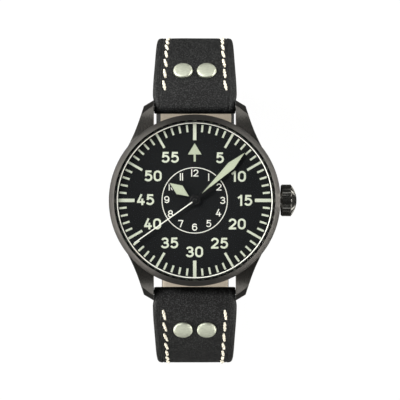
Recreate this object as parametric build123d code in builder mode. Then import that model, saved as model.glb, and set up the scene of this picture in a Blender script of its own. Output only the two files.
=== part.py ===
from build123d import *
import os
from math import asin, atan2, ceil, cos, degrees, radians, sin, sqrt

# A hand-wound pilot watch on a riveted leather strap, buckled in a closed loop.
# Millimetres. The origin is the centre of the case back's outer face, on the
# axis of the hands: +Z comes out of the dial, +Y points to 12, +X to the crown.

# Driving sizes of the case
case_diameter = 42.0
case_underside = 1.0
case_top = 8.6
bezel_top = 11.3
crystal_top = 11.7
bezel_width = 1.65
lug_reach = 3.8
lug_gap = 20.3
bar_inset = 1.9
bar_z = 2.2
crown_z = 5.6
crown_diameter = 7.8
dial_level = 8.2
dial_thickness = 0.4
plate_bottom = 6.5
movement_diameter = 25.6

# Driving sizes of the strap, in the plane of its loop
strap_width = 20.0
buckle_width = 18.0
strap_thickness = 3.0
bend_y = 14.8
bend_radius = 25.5
ply_gap = 0.2
tail_angle = 50.0
heel_y = 7.5

# Fits
slip = 0.05
running = 0.05
overrun = 1.0
flat_count = 10

case_radius = case_diameter / 2
dial_bore = case_radius - bezel_width
dial_diameter = 2 * (dial_bore - slip)
lug_to_lug = case_diameter + 2 * lug_reach
bar_y = lug_to_lug / 2 - bar_inset
dial_top = dial_level + dial_thickness
inner_radius = bend_radius - strap_thickness / 2
outer_radius = bend_radius + strap_thickness / 2
bar_lean = degrees(asin((bar_y - bend_y) / bend_radius))
bend_z = bar_z - bend_radius * cos(radians(bar_lean))
tail_step = strap_thickness + ply_gap

os.makedirs("parts", exist_ok=True)


def save(piece, name):
    """Label a finished piece and write it as its own STEP file."""
    piece.label = name
    export_step(piece, f"parts/{name}.step")


def lathe(profile, axis=Axis.Z, mode=Mode.ADD):
    """Turn a closed profile of (radius, height) points about the watch's axis."""
    with BuildSketch(Plane.XZ) as section:
        with BuildLine():
            Polyline(*profile, close=True)
        make_face()
    revolve(section.sketch, axis=axis, mode=mode)


def drum(radius, bottom, top, bore=0, centre=(0, 0), mode=Mode.ADD):
    """A disc or ring between two heights, upright on the dial's plane."""
    with BuildSketch(Plane.XY.offset(bottom)) as section:
        with Locations(centre):
            Circle(radius)
            if bore > 0:
                Circle(bore, mode=Mode.SUBTRACT)
    extrude(section.sketch, amount=top - bottom, mode=mode)


def rod(radius, start, end, plane, bore=0, mode=Mode.ADD):
    """A round bar or tube along a plane's normal, from start to end."""
    with BuildSketch(plane.offset(start)) as section:
        Circle(radius)
        if bore > 0:
            Circle(bore, mode=Mode.SUBTRACT)
    extrude(section.sketch, amount=end - start, mode=mode)


def arbor(radius, bottom, top, centre=(0, 0), mode=Mode.ADD):
    """A thin upright arbor or hole, drawn with flats; a hole is measured across them."""
    with BuildSketch(Plane.XY.offset(bottom)) as section:
        with Locations(centre):
            RegularPolygon(radius, flat_count, major_radius=mode == Mode.ADD)
    extrude(section.sketch, amount=top - bottom, mode=mode)


def polar(radius, angle, centre=(0, 0)):
    """A point of the dial's plane, its angle in degrees from 3 o'clock."""
    return (centre[0] + radius * cos(radians(angle)), centre[1] + radius * sin(radians(angle)))


# Case middle
# A turned ring with a ledge that carries the movement, and four lugs that curve
# down past the case back and end in a slanted facet.
back_step = 3.3
back_lip = 1.0
back_flange_radius = case_radius - back_step
back_thread_radius = back_flange_radius - back_lip
lug_root_width = 6.4
lug_waist_width = 4.35
lug_tip_width = 2.45
lug_root_set = 11.88
lug_waist_set = 7.5
lug_tip_set = 1.45
lug_keel_width = 3.85
lug_keel_set = 12.8
lug_top_root_set = 9.8
lug_top_root_z = 8.3
lug_crest_set = 3.5
lug_crest_z = 6.5
lug_nose_z = 3.9
lug_facet_width = 1.05
lug_facet_height = 2.8
lug_toe_set = 0.7
lug_toe_z = 0.4
lug_heel_set = 7.3
bar_radius = 0.75
bar_hole_depth = 0.9
tube_radius = 1.5
tube_start = back_thread_radius + 3 * slip

lug_inner = lug_gap / 2
lug_tip = lug_to_lug / 2
facet_length = sqrt(lug_tip_width**2 + lug_tip_set**2)
facet_x = lug_tip_set / facet_length
facet_y = lug_tip_width / facet_length
with BuildPart() as facets:
    facet_plane = Plane(
        origin=(lug_inner, lug_tip, bar_z), x_dir=(facet_x, facet_y, 0), z_dir=(facet_y, -facet_x, 0)
    )
    with BuildSketch(facet_plane):
        with BuildLine():
            Polyline(
                (0, 0),
                (overrun, 0),
                (overrun, 2 * lug_facet_height),
                (-2 * lug_facet_width, 2 * lug_facet_height),
                close=True,
            )
        make_face()
    extrude(amount=2 * facet_length, both=True)
    mirror(about=Plane.YZ)
    mirror(about=Plane.XZ)

with BuildPart() as lugs:
    with BuildSketch() as plan:
        with BuildLine():
            flank = ThreePointArc(
                (lug_inner + lug_root_width, lug_tip - lug_root_set),
                (lug_inner + lug_waist_width, lug_tip - lug_waist_set),
                (lug_inner + lug_tip_width, lug_tip - lug_tip_set),
            )
            Polyline(
                flank @ 1,
                (lug_inner, lug_tip),
                (lug_inner, lug_tip - lug_keel_set),
                (lug_inner + lug_keel_width, lug_tip - lug_keel_set),
                flank @ 0,
            )
        make_face()
        mirror(about=Plane.YZ)
        mirror(about=Plane.XZ)
    extrude(amount=case_top)
    with BuildSketch(Plane.YZ) as side:
        with BuildLine():
            crown_line = ThreePointArc(
                (lug_tip - lug_top_root_set, lug_top_root_z),
                (lug_tip - lug_crest_set, lug_crest_z),
                (lug_tip, lug_nose_z),
            )
            Polyline(
                crown_line @ 1,
                (lug_tip, bar_z),
                (lug_tip - lug_toe_set, lug_toe_z),
                (lug_tip - lug_heel_set, case_underside),
                (0, case_underside),
                (0, lug_top_root_z),
                crown_line @ 0,
            )
        make_face()
        mirror(about=Plane.YZ)
    extrude(amount=case_radius, both=True, mode=Mode.INTERSECT)
    add(facets.part, mode=Mode.SUBTRACT)

with BuildPart() as case_middle:
    drum(case_radius, case_underside, case_top)
    add(lugs.part)
    lathe(
        [
            (0, case_underside),
            (back_thread_radius + slip, case_underside),
            (back_thread_radius + slip, plate_bottom),
            (dial_bore, plate_bottom),
            (dial_bore, case_top),
            (0, case_top),
        ],
        mode=Mode.SUBTRACT,
    )
    hole_end = lug_gap / 2 + bar_hole_depth + slip
    for side_y in (bar_y, -bar_y):
        with BuildSketch(Plane(origin=(0, side_y, bar_z), z_dir=(1, 0, 0))) as bar_hole:
            RegularPolygon(bar_radius + slip, flat_count, major_radius=False)
        extrude(amount=hole_end, both=True, mode=Mode.SUBTRACT)
    crown_plane = Plane(origin=(0, 0, crown_z), x_dir=(0, 1, 0), z_dir=(1, 0, 0))
    rod(tube_radius, back_thread_radius - overrun, case_radius + overrun, crown_plane, mode=Mode.SUBTRACT)
save(case_middle.part, "case_middle")

# Bezel
# A plain sand-blasted ring whose face slopes up to the glass.
bezel_wall = 1.15
with BuildPart() as bezel:
    lathe(
        [
            (dial_bore, case_top),
            (case_radius, case_top),
            (case_radius, case_top + bezel_wall),
            (dial_bore, bezel_top),
        ]
    )
save(bezel.part, "bezel")

# Crystal and the inner flange ring between dial and glass
crystal_bottom = 10.2
flange_wall = 0.5
flange_radius = dial_bore - slip - flange_wall
crystal_radius = dial_bore - slip
with BuildPart() as crystal:
    lathe(
        [
            (0, crystal_bottom),
            (crystal_radius, crystal_bottom),
            (crystal_radius, crystal_top),
            (0, crystal_top),
        ]
    )
save(crystal.part, "crystal")

with BuildPart() as rehaut_ring:
    drum(dial_bore - slip, dial_top, crystal_bottom, bore=flange_radius)
save(rehaut_ring.part, "rehaut_ring")

# Screwed case back, closed, with notches for the case key
back_neck_top = 2.4
key_notches = 6
key_notch_width = 1.6
key_notch_depth = 0.5
with BuildPart() as case_back:
    lathe(
        [
            (0, 0),
            (back_flange_radius, 0),
            (back_flange_radius, case_underside),
            (back_thread_radius, case_underside),
            (back_thread_radius, back_neck_top),
            (0, back_neck_top),
        ]
    )
    with BuildSketch() as notches:
        with PolarLocations(back_flange_radius - key_notch_width, key_notches):
            Rectangle(key_notch_width, key_notch_width)
    extrude(amount=key_notch_depth, mode=Mode.SUBTRACT)
save(case_back.part, "case_back")

# Crown tube, crown, stem and sliding pinion, on the axis through 3 o'clock
crown_radius = crown_diameter / 2
crown_gap = 0.17
crown_flange = 0.43
crown_side_reach = 2.54
crown_reach = 4.05
crown_start = case_radius + crown_gap
crown_side_end = case_radius + crown_side_reach
crown_end = case_radius + crown_reach
crown_nose_radius = 1.1
crown_recess_radius = 2.0
crown_recess = 1.75
tube_bore = 1.0
tube_reach = 1.6
tube_end = case_radius + tube_reach
flute_count = 16
flute_depth = 0.35
ridge_start_share = 0.3
ridge_end_share = 0.65
stem_radius = 0.5
stem_square = 0.7
stem_start = 9.2
stem_reach = 2.9
stem_end = case_radius + stem_reach
square_end = 11.9
pinion_radius = 1.2
pinion_start = 9.7
pinion_end = 11.4
pinion_teeth = 6
pinion_tooth = 0.35
with BuildPart() as crown_tube:
    rod(tube_radius, tube_start, tube_end, crown_plane, bore=tube_bore)
save(crown_tube.part, "crown_tube")

crown_axis = Axis((0, 0, crown_z), (1, 0, 0))
with BuildPart() as crown:
    recess_end = crown_start + crown_recess
    flute_start = crown_start + crown_flange
    rod(crown_radius, crown_start, flute_start, crown_plane)
    with BuildSketch(crown_plane.offset(flute_start)) as fluted:
        with BuildLine():
            pitch = 360 / flute_count
            ridges = []
            for flute in range(flute_count):
                ridges.append(polar(crown_radius - flute_depth, flute * pitch))
                ridges.append(polar(crown_radius, (flute + ridge_start_share) * pitch))
                ridges.append(polar(crown_radius, (flute + ridge_end_share) * pitch))
                ridges.append(polar(crown_radius - flute_depth, (flute + 1 - slip) * pitch))
            Polyline(*ridges, close=True)
        make_face()
    extrude(amount=crown_side_end - flute_start)
    with BuildSketch(Plane.XZ) as dome:
        with BuildLine():
            Polyline(
                (crown_side_end, crown_z),
                (crown_side_end, crown_z + crown_radius - flute_depth),
                (crown_end, crown_z + crown_nose_radius),
                (crown_end, crown_z),
                close=True,
            )
        make_face()
    revolve(dome.sketch, axis=crown_axis)
    rod(crown_recess_radius, crown_start, recess_end, crown_plane, mode=Mode.SUBTRACT)
    rod(stem_radius + slip, crown_start, stem_end + slip, crown_plane, mode=Mode.SUBTRACT)
save(crown.part, "crown")

with BuildPart() as winding_stem:
    rod(stem_radius, square_end, stem_end, crown_plane)
    with BuildSketch(crown_plane.offset(stem_start)) as shank:
        Rectangle(stem_square, stem_square)
    extrude(amount=square_end - stem_start)
save(winding_stem.part, "winding_stem")

with BuildPart() as sliding_pinion:
    with BuildSketch(crown_plane.offset(pinion_start)) as sleeve:
        RegularPolygon(pinion_radius, 2 * pinion_teeth)
        Rectangle(stem_square + 2 * slip, stem_square + 2 * slip, mode=Mode.SUBTRACT)
    extrude(amount=pinion_end - pinion_start)
    for face_start in (pinion_start, pinion_end - pinion_tooth):
        with BuildSketch(crown_plane.offset(face_start)) as gaps:
            with PolarLocations(pinion_radius, pinion_teeth):
                Rectangle(pinion_radius, pinion_tooth)
        extrude(amount=pinion_tooth, mode=Mode.SUBTRACT)
save(sliding_pinion.part, "sliding_pinion")

# Dial, with a hole for the hands' arbors
dial_hole = 1.15
with BuildPart() as dial:
    drum(dial_diameter / 2, dial_level, dial_top, bore=dial_hole)
save(dial.part, "dial")

# Movement: the heights of its levels, from the bridge up to the dial
plate_recess = 7.35
barrel_bottom = 5.3
barrel_top = 6.3
centre_level = 4.9
third_level = 4.5
fourth_level = 4.12
wheel_thickness = 0.15
bridge_top = 3.98
bridge_bottom = 3.45
pallet_level = 5.5
balance_level = 4.75
balance_height = 0.4
spring_level = 4.3
spring_height = 0.18
motion_level = 7.5

# Tooth counts: the centre wheel turns once an hour and the fourth wheel once a
# minute, and the escapement beats 21,600 times an hour.
barrel_teeth = 48
centre_pinion_teeth = 8
centre_teeth = 48
third_pinion_teeth = 6
third_teeth = 45
fourth_pinion_teeth = 6
fourth_teeth = 54
escape_pinion_teeth = 6
escape_teeth = 20
cannon_teeth = 8
minute_teeth = 24
minute_pinion_teeth = 6
hour_teeth = 24
ratchet_teeth = 30

# Centre distances and directions of the wheels on the plate
barrel_distance = 6.7
barrel_angle = 60.0
third_distance = 4.05
third_angle = 140.0
escape_distance = 4.05
escape_angle = 262.0
minute_distance = 2.6
minute_angle = 320.0
balance_distance = 8.0
balance_angle = 215.0
balance_radius = 4.1
barrel_place = polar(barrel_distance, barrel_angle)
third_place = polar(third_distance, third_angle)
escape_place = polar(escape_distance, escape_angle)
minute_place = polar(minute_distance, minute_angle)
balance_place = polar(balance_distance, balance_angle)

barrel_module = 2 * barrel_distance / (barrel_teeth + centre_pinion_teeth)
centre_module = 2 * third_distance / (centre_teeth + third_pinion_teeth)
third_module = 2 * third_distance / (third_teeth + fourth_pinion_teeth)
fourth_module = 2 * escape_distance / (fourth_teeth + escape_pinion_teeth)
cannon_module = 2 * minute_distance / (cannon_teeth + minute_teeth)
hour_module = 2 * minute_distance / (minute_pinion_teeth + hour_teeth)

# Tooth heights as shares of the module
tip_share = 0.8
root_share = 1.0


def gear(teeth, module, bottom, thickness, phase=0, centre=(0, 0)):
    """A flat disc with pointed teeth; phase is the direction of one tooth, in degrees."""
    tip = module * (teeth / 2 + tip_share)
    root = module * (teeth / 2 - root_share)
    pitch = 360 / teeth
    outline = []
    for tooth in range(teeth):
        outline.append(polar(tip, phase + tooth * pitch, centre))
        outline.append(polar(root, phase + (tooth + 1 / 2) * pitch, centre))
    with BuildSketch(Plane.XY.offset(bottom)) as section:
        with BuildLine():
            Polyline(*outline, close=True)
        make_face()
    extrude(section.sketch, amount=thickness)


# Main plate with the recess of the motion work, the slot of the winding stem and
# the pillars of the train bridge
motion_recess_radius = 5.6
plate_centre_hole = 0.5
slot_width = 2 * tube_radius + 4 * slip
bridge_radius = movement_diameter / 2
pillar_radius = 0.9
pillar_angles = (20, 110, 345)
pillar_inset = 1.4
pillar_ring = bridge_radius - pillar_inset
with BuildPart() as main_plate:
    drum(dial_bore - slip, plate_bottom, dial_level)
    arbor(motion_recess_radius, plate_recess, dial_level, mode=Mode.SUBTRACT)
    arbor(plate_centre_hole, plate_bottom, plate_recess, mode=Mode.SUBTRACT)
    slot_start = stem_start - 4 * slip
    slot_length = case_radius - slot_start
    with BuildSketch(Plane.XY.offset(plate_bottom)) as slot:
        with Locations((slot_start + slot_length / 2, 0)):
            Rectangle(slot_length, slot_width)
    extrude(amount=crown_z + tube_radius + 2 * slip - plate_bottom, mode=Mode.SUBTRACT)
    for pillar_angle in pillar_angles:
        arbor(pillar_radius, bridge_top, plate_bottom, polar(pillar_ring, pillar_angle))
save(main_plate.part, "main_plate")

# Train bridge and balance cock, side by side on one level
cock_width = 3.4
cock_foot = 0.7
window_margin = 0.2
balance_window = balance_radius + window_margin
cock_reach = balance_window + cock_foot
cock_plane = Plane(
    origin=(balance_place[0], balance_place[1], bridge_bottom),
    x_dir=(cos(radians(balance_angle)), sin(radians(balance_angle)), 0),
    z_dir=(0, 0, 1),
)
with BuildPart() as train_bridge:
    drum(bridge_radius, bridge_bottom, bridge_top)
    drum(balance_window, bridge_bottom, bridge_top, centre=balance_place, mode=Mode.SUBTRACT)
    with BuildSketch(cock_plane) as cock_gap:
        with Locations((cock_reach / 2, 0)):
            Rectangle(cock_reach, cock_width + 2 * slip)
    extrude(amount=bridge_top - bridge_bottom, mode=Mode.SUBTRACT)
save(train_bridge.part, "train_bridge")

with BuildPart() as balance_cock:
    with BuildSketch(cock_plane) as arm:
        with BuildLine():
            Polyline(
                (-cock_width / 3, cock_width / 3),
                (cock_reach, cock_width / 2),
                (cock_reach, -cock_width / 2),
                (-cock_width / 3, -cock_width / 3),
                close=True,
            )
        make_face()
    extrude(amount=bridge_top - bridge_bottom)
    with BuildSketch(cock_plane.offset(bridge_top - bridge_bottom)) as foot:
        with Locations((cock_reach - cock_foot / 2, 0)):
            Rectangle(cock_foot, cock_width)
    extrude(amount=plate_bottom - bridge_top)
save(balance_cock.part, "balance_cock")

# Barrel with its arbor and ratchet wheel
barrel_wall_radius = barrel_module * (barrel_teeth / 2 - 2)
barrel_tooth_height = 0.25
arbor_radius = 0.5
ratchet_module = 0.17
ratchet_level = 4.7
with BuildPart() as mainspring_barrel:
    drum(barrel_wall_radius, barrel_bottom, barrel_top, centre=barrel_place)
    gear(barrel_teeth, barrel_module, barrel_bottom, barrel_tooth_height,
         phase=barrel_angle + 180, centre=barrel_place)
    arbor(arbor_radius + running, barrel_bottom, barrel_top, barrel_place, mode=Mode.SUBTRACT)
save(mainspring_barrel.part, "mainspring_barrel")

with BuildPart() as barrel_arbor:
    arbor(arbor_radius, bridge_top + slip, plate_bottom - slip, barrel_place)
save(barrel_arbor.part, "barrel_arbor")

with BuildPart() as ratchet_wheel:
    gear(ratchet_teeth, ratchet_module, ratchet_level, wheel_thickness, centre=barrel_place)
    arbor(arbor_radius + running, ratchet_level, ratchet_level + wheel_thickness,
          barrel_place, mode=Mode.SUBTRACT)
save(ratchet_wheel.part, "ratchet_wheel")

# Going train: centre, third, fourth and escape wheels with their pinions. The
# arbors of the hands run one inside the other.
seconds_arbor = 0.15
minute_tube_bore = 0.2
minute_tube = 0.38
cannon_bore = 0.38
cannon_tube = 0.58
hour_tube_bore = 0.65
hour_tube = 0.86
staff_radius = 0.15
arbor_start = bridge_top + slip
pivot_end = plate_bottom - slip
hour_hand_level = 9.0
minute_hand_level = 9.35
seconds_hand_level = 9.7
hand_thickness = 0.15


def half_pitch(teeth):
    """The angle from a tooth to the gap beside it, in degrees."""
    return 180 / teeth


with BuildPart() as centre_wheel:
    gear(centre_teeth, centre_module, centre_level, wheel_thickness, phase=third_angle)
    gear(centre_pinion_teeth, barrel_module, barrel_bottom - slip, 2 * barrel_tooth_height,
         phase=barrel_angle + half_pitch(centre_pinion_teeth))
    arbor(minute_tube, centre_level, motion_level + wheel_thickness)
    arbor(minute_tube_bore, centre_level, motion_level + wheel_thickness, mode=Mode.SUBTRACT)
save(centre_wheel.part, "centre_wheel")

with BuildPart() as third_wheel:
    gear(third_teeth, third_module, third_level, wheel_thickness,
         phase=third_angle + 180, centre=third_place)
    gear(third_pinion_teeth, centre_module, centre_level - slip, 2 * wheel_thickness,
         phase=third_angle + 180 + half_pitch(third_pinion_teeth), centre=third_place)
    arbor(staff_radius, arbor_start, pivot_end, third_place)
save(third_wheel.part, "third_wheel")

with BuildPart() as fourth_wheel:
    gear(fourth_teeth, fourth_module, fourth_level, wheel_thickness, phase=escape_angle)
    gear(fourth_pinion_teeth, third_module, third_level - slip, 2 * wheel_thickness,
         phase=third_angle + half_pitch(fourth_pinion_teeth))
    arbor(seconds_arbor, arbor_start, seconds_hand_level)
save(fourth_wheel.part, "fourth_wheel")

escape_radius = 2.1
escape_root_share = 0.8
club_start_share = 0.45
club_end_share = 0.6
club_drop_share = 0.98
with BuildPart() as escape_wheel:
    with BuildSketch(Plane.XY.offset(pallet_level)) as club_teeth:
        pitch = 360 / escape_teeth
        club = []
        for tooth in range(escape_teeth):
            lead = tooth * pitch
            club.append(polar(escape_radius * escape_root_share, lead, escape_place))
            club.append(polar(escape_radius, lead + pitch * club_start_share, escape_place))
            club.append(polar(escape_radius * club_drop_share, lead + pitch * club_end_share, escape_place))
        with BuildLine():
            Polyline(*club, close=True)
        make_face()
    extrude(amount=wheel_thickness)
    gear(escape_pinion_teeth, fourth_module, fourth_level - slip, 2 * wheel_thickness,
         phase=escape_angle + 180 + half_pitch(escape_pinion_teeth), centre=escape_place)
    arbor(staff_radius, arbor_start, pivot_end, escape_place)
save(escape_wheel.part, "escape_wheel")

# Motion work under the dial: cannon pinion, minute wheel and hour wheel
cannon_top = minute_hand_level
pinion_height = 2 * wheel_thickness
hour_level = motion_level + pinion_height + slip
with BuildPart() as cannon_pinion:
    gear(cannon_teeth, cannon_module, motion_level + wheel_thickness + slip, wheel_thickness,
         phase=minute_angle)
    arbor(cannon_tube, motion_level + wheel_thickness + slip, cannon_top)
    arbor(cannon_bore, motion_level, cannon_top, mode=Mode.SUBTRACT)
save(cannon_pinion.part, "cannon_pinion")

with BuildPart() as minute_wheel:
    gear(minute_teeth, cannon_module, motion_level + wheel_thickness, wheel_thickness,
         phase=minute_angle + 180 + half_pitch(minute_teeth), centre=minute_place)
    gear(minute_pinion_teeth, hour_module, motion_level + pinion_height, wheel_thickness + 2 * slip,
         phase=minute_angle + 180, centre=minute_place)
    arbor(staff_radius + running, motion_level, dial_level, minute_place, mode=Mode.SUBTRACT)
save(minute_wheel.part, "minute_wheel")

with BuildPart() as minute_post:
    arbor(staff_radius, plate_recess, dial_level - slip, minute_place)
save(minute_post.part, "minute_post")

with BuildPart() as hour_wheel:
    gear(hour_teeth, hour_module, hour_level, wheel_thickness,
         phase=minute_angle + half_pitch(hour_teeth))
    arbor(hour_tube, hour_level, hour_hand_level)
    arbor(hour_tube_bore, hour_level, hour_hand_level, mode=Mode.SUBTRACT)
save(hour_wheel.part, "hour_wheel")

# Balance wheel with its staff and hairspring, and the pallet fork
balance_rim = 0.5
arm_width = 0.4
roller_radius = 0.6
line_angle = degrees(atan2(balance_place[1] - escape_place[1], balance_place[0] - escape_place[0]))
line_length = sqrt(
    (balance_place[1] - escape_place[1]) ** 2 + (balance_place[0] - escape_place[0]) ** 2
)
with BuildPart() as balance_wheel:
    drum(balance_radius, balance_level, balance_level + balance_height,
         bore=balance_radius - balance_rim, centre=balance_place)
    with BuildSketch(Plane.XY.offset(balance_level)) as arms:
        with Locations(balance_place):
            Rectangle(2 * balance_radius - balance_rim, 2 * arm_width, rotation=line_angle + 90)
    extrude(amount=balance_height)
    arbor(staff_radius, arbor_start, pivot_end, balance_place)
    arbor(roller_radius, pallet_level + wheel_thickness + slip,
          pallet_level + 2 * wheel_thickness, balance_place)
save(balance_wheel.part, "balance_wheel")

spring_turns = 2
spring_start = 0.7
spring_pitch = 0.5
spring_strip = 0.06
with BuildPart() as hairspring:
    with BuildSketch(Plane.XY.offset(spring_level)) as coil:
        with BuildLine():
            inner_line = []
            outer_line = []
            for half_turn in range(2 * spring_turns):
                side = 1 if half_turn % 2 == 0 else -1
                radius_now = spring_start + half_turn * spring_pitch / 2
                centre_now = (balance_place[0] - side * spring_pitch / 4, balance_place[1])
                start = 90 - side * 90
                inner_line.append(CenterArc(centre_now, radius_now, start, 180))
                outer_line.append(CenterArc(centre_now, radius_now + spring_strip, start, 180))
            Line(inner_line[0] @ 0, outer_line[0] @ 0)
            Line(inner_line[-1] @ 1, outer_line[-1] @ 1)
        make_face()
    extrude(amount=spring_height)
save(hairspring.part, "hairspring")

# Pallet fork: a lever between the escape wheel and the balance's roller
pallet_share = 0.43
fork_gap = 0.35
stone_length = 0.7
pallet_place = (
    escape_place[0] + line_length * pallet_share * cos(radians(line_angle)),
    escape_place[1] + line_length * pallet_share * sin(radians(line_angle)),
)
lever_plane = Plane(
    origin=(pallet_place[0], pallet_place[1], pallet_level),
    x_dir=(cos(radians(line_angle)), sin(radians(line_angle)), 0),
    z_dir=(0, 0, 1),
)
lever_length = line_length * (1 - pallet_share) - roller_radius - slip
with BuildPart() as pallet_fork:
    with BuildSketch(lever_plane) as lever:
        with Locations((lever_length / 2, 0)):
            Rectangle(lever_length, arm_width)
        with Locations((lever_length - fork_gap, 0)):
            Rectangle(2 * fork_gap, 2 * fork_gap)
        with Locations((lever_length - fork_gap / 2, 0)):
            Rectangle(fork_gap, fork_gap, mode=Mode.SUBTRACT)
        Rectangle(arm_width, 2 * stone_length + 2 * arm_width)
    extrude(amount=wheel_thickness)
    arbor(staff_radius, balance_level + balance_height + 2 * slip, pivot_end, pallet_place)
save(pallet_fork.part, "pallet_fork")

# Hands: black frames with windows for the luminous inlays
hour_reach = 8.1
hour_lume_tip = 7.5
hour_lume_start = 1.7
hour_lume_widest = 4.5
hour_lume_half = 1.26
minute_clearance = 1.4
minute_tip_rim = 0.5
minute_lume_start = 2.4
minute_lume_waist = 3.7
minute_lume_waist_half = 0.16
minute_lume_widest = 12.3
minute_lume_half = 0.98
frame_rim = 0.28
hour_hub = 1.45
minute_hub = 1.25
seconds_hub = 1.15
seconds_clearance = 0.7
seconds_width = 0.3
tail_reach = 5.2
tail_start_half = 0.25
tail_end_half = 0.55
hour_direction = 90 - 304.7
minute_direction = 90 - 46.4
seconds_direction = 90 - 235.0
lume_drop = 0.02
minute_reach = flange_radius - minute_clearance
minute_lume_tip = minute_reach - minute_tip_rim
seconds_reach = flange_radius - seconds_clearance


def hand_plane(level, direction):
    """A plane whose x axis runs along a hand."""
    return Plane(
        origin=(0, 0, level),
        x_dir=(cos(radians(direction)), sin(radians(direction)), 0),
        z_dir=(0, 0, 1),
    )


def blade(plane, stations, thickness, mode=Mode.ADD):
    """A symmetric hand outline through (reach, half width) stations."""
    upper = [(reach, half) for reach, half in stations]
    lower = [(reach, -half) for reach, half in reversed(stations) if half > 0]
    with BuildSketch(plane) as outline:
        with BuildLine():
            Polyline(*upper, *lower, close=True)
        make_face()
    extrude(outline.sketch, amount=thickness, mode=mode)


hour_lume = [(hour_lume_start, 0), (hour_lume_widest, hour_lume_half), (hour_lume_tip, 0)]
hour_frame = [
    (0, frame_rim),
    (hour_lume_start, frame_rim),
    (hour_lume_widest, hour_lume_half + frame_rim),
    (hour_reach, 0),
]
minute_lume = [
    (minute_lume_start, 0),
    (minute_lume_waist, minute_lume_waist_half),
    (minute_lume_widest, minute_lume_half),
    (minute_lume_tip, 0),
]
minute_frame = [
    (0, frame_rim),
    (minute_lume_waist, minute_lume_waist_half + frame_rim),
    (minute_lume_widest, minute_lume_half + frame_rim),
    (minute_reach, 0),
]
with BuildPart() as hour_hand:
    hour_plane = hand_plane(hour_hand_level, hour_direction)
    blade(hour_plane, hour_frame, hand_thickness)
    drum(hour_hub, hour_hand_level, hour_hand_level + hand_thickness)
    blade(hour_plane, hour_lume, hand_thickness, mode=Mode.SUBTRACT)
    arbor(hour_tube_bore, hour_hand_level, hour_hand_level + hand_thickness, mode=Mode.SUBTRACT)
save(hour_hand.part, "hour_hand")

with BuildPart() as hour_hand_lume:
    blade(hour_plane, hour_lume, hand_thickness - lume_drop)
save(hour_hand_lume.part, "hour_hand_lume")

with BuildPart() as minute_hand:
    minute_plane = hand_plane(minute_hand_level, minute_direction)
    blade(minute_plane, minute_frame, hand_thickness)
    drum(minute_hub, minute_hand_level, minute_hand_level + hand_thickness)
    blade(minute_plane, minute_lume, hand_thickness, mode=Mode.SUBTRACT)
    arbor(seconds_arbor + running, minute_hand_level, minute_hand_level + hand_thickness,
          mode=Mode.SUBTRACT)
save(minute_hand.part, "minute_hand")

with BuildPart() as minute_hand_lume:
    blade(minute_plane, minute_lume, hand_thickness - lume_drop)
save(minute_hand_lume.part, "minute_hand_lume")

with BuildPart() as seconds_hand:
    seconds_plane = hand_plane(seconds_hand_level, seconds_direction)
    pointer = [(0, seconds_width), (seconds_reach, seconds_width / 2)]
    blade(seconds_plane, pointer, hand_thickness)
    counterweight = [(-tail_reach, tail_end_half), (0, tail_start_half)]
    blade(seconds_plane, counterweight, hand_thickness)
    drum(seconds_hub, seconds_hand_level, seconds_hand_level + hand_thickness)
save(seconds_hand.part, "seconds_hand")

# Strap bars, their ends held in the lugs
def strap_bar(side):
    """A plain bar along x, reaching into the blind holes of two lugs."""
    plane = Plane(origin=(0, side * bar_y, bar_z), x_dir=(0, 1, 0), z_dir=(1, 0, 0))
    rod(bar_radius, -lug_gap / 2 - bar_hole_depth, lug_gap / 2 + bar_hole_depth, plane)


with BuildPart() as strap_bar_12:
    strap_bar(1)
save(strap_bar_12.part, "strap_bar_12")

with BuildPart() as strap_bar_6:
    strap_bar(-1)
save(strap_bar_6.part, "strap_bar_6")

# Strap
# Each half is one piece of lined leather with its end folded round a bar, bent in
# arcs that lie in the YZ plane. The short half hangs at 12 o'clock and carries the
# buckle, the long half comes from 6 o'clock and laps outside it.
end_radius = strap_thickness / 2
bar_bore = bar_radius + slip
heel_bar_radius = 0.8
lap_radius = inner_radius + tail_step
short_sweep = 180 - bar_lean
long_sweep = 90 - bar_lean
heel_z = bend_z - bend_radius
long_bend_y = bend_y - tail_step
fork_half = 1.4
fork_start = 1.8
fork_depth = 3.6
hole_radius = 1.1
hole_spacing = 6.5
hole_y = 3.2
slot_near = 3.1
slot_far = 8.1
slot_half = 1.3
rivet_step = 9.1
rivet_y = bar_y + rivet_step
rivet_x = 2.9
rivet_shank = 0.9
taper_top = bar_z + end_radius + overrun
chord_angle = 6.0


def band(centre, inner, outer, start, sweep):
    """A flat arc-shaped strip in the current sketch, drawn in short chords."""
    chords = ceil(sweep / chord_angle)
    turns = [start + sweep * step / chords for step in range(chords + 1)]
    far = [polar(outer, turn, centre) for turn in turns]
    near = [polar(inner, turn, centre) for turn in reversed(turns)]
    with BuildLine() as edge:
        Polyline(*far, *near, close=True)
    make_face(edge.edges())


def slab(left, right, low, high, mode=Mode.ADD):
    """A rectangle between four sides in the current sketch."""
    with Locations(((left + right) / 2, (low + high) / 2)):
        Rectangle(right - left, high - low, mode=mode)


def trim_to_taper(half_top, half_bottom):
    """Cut a strap solid to its width: widest at the lugs, narrower at the buckle."""
    floor = bend_z - lap_radius - strap_thickness - overrun
    reach = bend_y + outer_radius + tail_step + overrun
    with BuildSketch(Plane.XZ) as plan:
        with BuildLine():
            Polyline(
                (half_top, taper_top),
                (half_top, bar_z),
                (half_bottom, bend_z - inner_radius),
                (half_bottom, floor),
                (-half_bottom, floor),
                (-half_bottom, bend_z - inner_radius),
                (-half_top, bar_z),
                (-half_top, taper_top),
                close=True,
            )
        make_face()
    extrude(plan.sketch, amount=reach, both=True, mode=Mode.INTERSECT)


rivet_lean = degrees(asin((rivet_y - bend_y) / outer_radius))


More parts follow.
